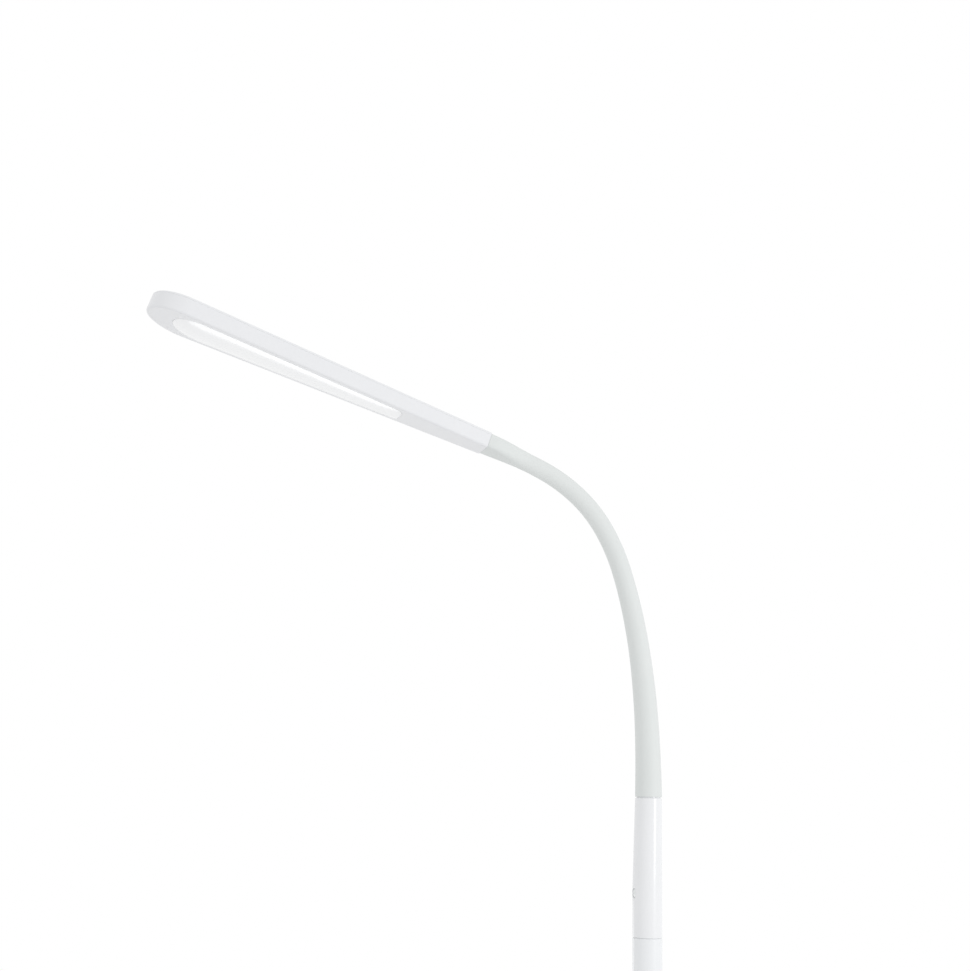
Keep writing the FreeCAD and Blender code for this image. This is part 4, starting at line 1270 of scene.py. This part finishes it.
# ------------------------------------------------------------------ studio
@dataclass
class Studio:
    """A white room: a pale floor, an even sky, two soft lamps and the camera.

    The key lamp is large and stands to the right. The low lamp is small and shines up at the underside of
    the head.
    """

    camera_place: tuple[float, float, float] = (1.2171, -0.4662, 1.035)
    yaw: float = 165.132
    pitch: float = 11.226
    roll: float = 1.198
    lens_mm: float = 57.53
    sensor_mm: float = 36.0
    floor_r: float = 6.0
    floor_colour: str = "#F4F4F4"
    floor_roughness: float = 0.9
    fade: tuple[float, float] = (0.9, 4.0)
    sky: float = 0.85
    aim: tuple[float, float, float] = (0.0, -0.1, 1.1)
    key_place: tuple[float, float, float] = (2.2, 1.7, 1.3)
    key_size: tuple[float, float] = (0.8, 0.8)
    key_watts: float = 14.0
    low_place: tuple[float, float, float] = (-1.13, -0.47, 0.77)
    low_aim: tuple[float, float, float] = (0.0, -0.32, 1.37)
    low_size: tuple[float, float] = (0.44, 0.19)
    low_watts: float = 0.26

    def camera(self) -> None:
        """Adds the camera at the photograph's angle."""
        yaw, pitch, roll = (math.radians(a) for a in (self.yaw, self.pitch, self.roll))
        ahead = Vector((math.cos(pitch) * math.cos(yaw), math.cos(pitch) * math.sin(yaw), math.sin(pitch)))
        right = ahead.cross(UP).normalized()
        top = right.cross(ahead)
        level_right = right * math.cos(roll) + top * math.sin(roll)
        level_top = top * math.cos(roll) - right * math.sin(roll)
        data = bpy.data.cameras.new("camera")
        data.lens = self.lens_mm
        data.sensor_width = self.sensor_mm
        camera = add_object("camera", data)
        turn = Matrix((level_right, level_top, -ahead)).transposed().to_4x4()
        camera.matrix_world = Matrix.Translation(self.camera_place) @ turn
        bpy.context.scene.camera = camera

    def seen_or_mirrored(self, tree: bpy.types.NodeTree) -> bpy.types.NodeSocket:
        """Adds a switch that is on for what the camera sees, directly or in a shine.

        Args:
            tree: The node tree of the backdrop.

        Returns:
            The output that is 1 for such rays and 0 for the light itself.
        """
        rays = add_node(tree, "ShaderNodeLightPath", {}, {})
        seen = rays.outputs["Is Camera Ray"]
        for kind in ("Is Glossy Ray", "Is Transmission Ray"):
            pair = {0: seen, 1: rays.outputs[kind]}
            seen = add_node(tree, "ShaderNodeMath", {"operation": "MAXIMUM"}, pair).outputs[0]
        return seen

    def floor(self) -> None:
        """Adds the floor, a matte disc that keeps the lamp's shadow and fades to white far from it."""
        bm = bmesh.new()
        bmesh.ops.create_circle(bm, cap_ends=True, segments=TUBE_STEPS, radius=self.floor_r)
        mesh = as_mesh(bm, "floor")
        material = bpy.data.materials.new("matte_white_floor")
        tree = empty_tree(material)
        place = add_node(tree, "ShaderNodeTexCoord", {}, {}).outputs["Object"]
        far = add_node(tree, "ShaderNodeVectorMath", {"operation": "LENGTH"}, {0: place}).outputs["Value"]
        fade = {"Value": far, "From Min": self.fade[0], "From Max": self.fade[1]}
        smooth = {"interpolation_type": "SMOOTHSTEP"}
        share = add_node(tree, "ShaderNodeMapRange", smooth, fade).outputs["Result"]
        shown = {0: share, 1: self.seen_or_mirrored(tree)}
        factor = add_node(tree, "ShaderNodeMath", {"operation": "MULTIPLY"}, shown).outputs[0]
        matte = {"Base Color": linear(self.floor_colour), "Roughness": self.floor_roughness}
        sheet = add_node(tree, "ShaderNodeBsdfPrincipled", {}, matte).outputs["BSDF"]
        white = {"Color": linear("#FFFFFF"), "Strength": 1.0}
        glow = add_node(tree, "ShaderNodeEmission", {}, white).outputs["Emission"]
        both = add_node(tree, "ShaderNodeMixShader", {}, {0: factor, 1: sheet, 2: glow}).outputs["Shader"]
        add_node(tree, "ShaderNodeOutputMaterial", {}, {"Surface": both})
        mesh.materials.append(material)
        add_object("floor", mesh)

    def sky_light(self) -> None:
        """Lights the room evenly, and shows plain white behind the object and in what mirrors it."""
        world = bpy.data.worlds.new("room")
        bpy.context.scene.world = world
        tree = empty_tree(world)
        level = {"Value": self.seen_or_mirrored(tree), "To Min": self.sky, "To Max": 1.0}
        strength = add_node(tree, "ShaderNodeMapRange", {}, level).outputs["Result"]
        shown = add_node(tree, "ShaderNodeBackground", {}, {"Color": linear("#FFFFFF"), "Strength": strength})
        add_node(tree, "ShaderNodeOutputWorld", {}, {"Surface": shown.outputs["Background"]})

    def soft_lamp(self, name: str, place: Vector, aim: Vector, size: tuple[float, float],
                  watts: float) -> None:
        """Adds a soft lamp that the camera doesn't see.

        Args:
            name: The lamp's name.
            place: Where it stands, in metres.
            aim: The point that it faces.
            size: Its width and its height, in metres.
            watts: Its power.
        """
        data = bpy.data.lights.new(name, "AREA")
        data.shape = "RECTANGLE"
        data.size, data.size_y = size
        data.energy = watts
        lamp = add_object(name, data)
        turn = (aim - place).to_track_quat("-Z", "Y").to_matrix().to_4x4()
        lamp.matrix_world = Matrix.Translation(place) @ turn
        lamp.visible_camera = False

    def build(self) -> None:
        """Sets the whole room."""
        bpy.context.scene.view_settings.view_transform = "Standard"
        self.camera()
        self.floor()
        self.sky_light()
        for name, place, aim, size, watts in (
                ("key_lamp", self.key_place, self.aim, self.key_size, self.key_watts),
                ("low_lamp", self.low_place, self.low_aim, self.low_size, self.low_watts)):
            self.soft_lamp(name, Vector(place), Vector(aim), size, watts)


def main() -> None:
    """Builds the lamp from the floor up, then the room."""
    logging.basicConfig(level=logging.INFO, format="%(message)s")
    neck = Neck()
    end = neck.place(neck.length)
    head = Head(Matrix.Translation(end.translation * MM) @ end.to_3x3().to_4x4())
    for assembly in (WeightedBase(), Pole(), ControlHousing(), neck, head, WorkingParts(), Studio()):
        assembly.build()


if __name__ == "__main__":
    main()
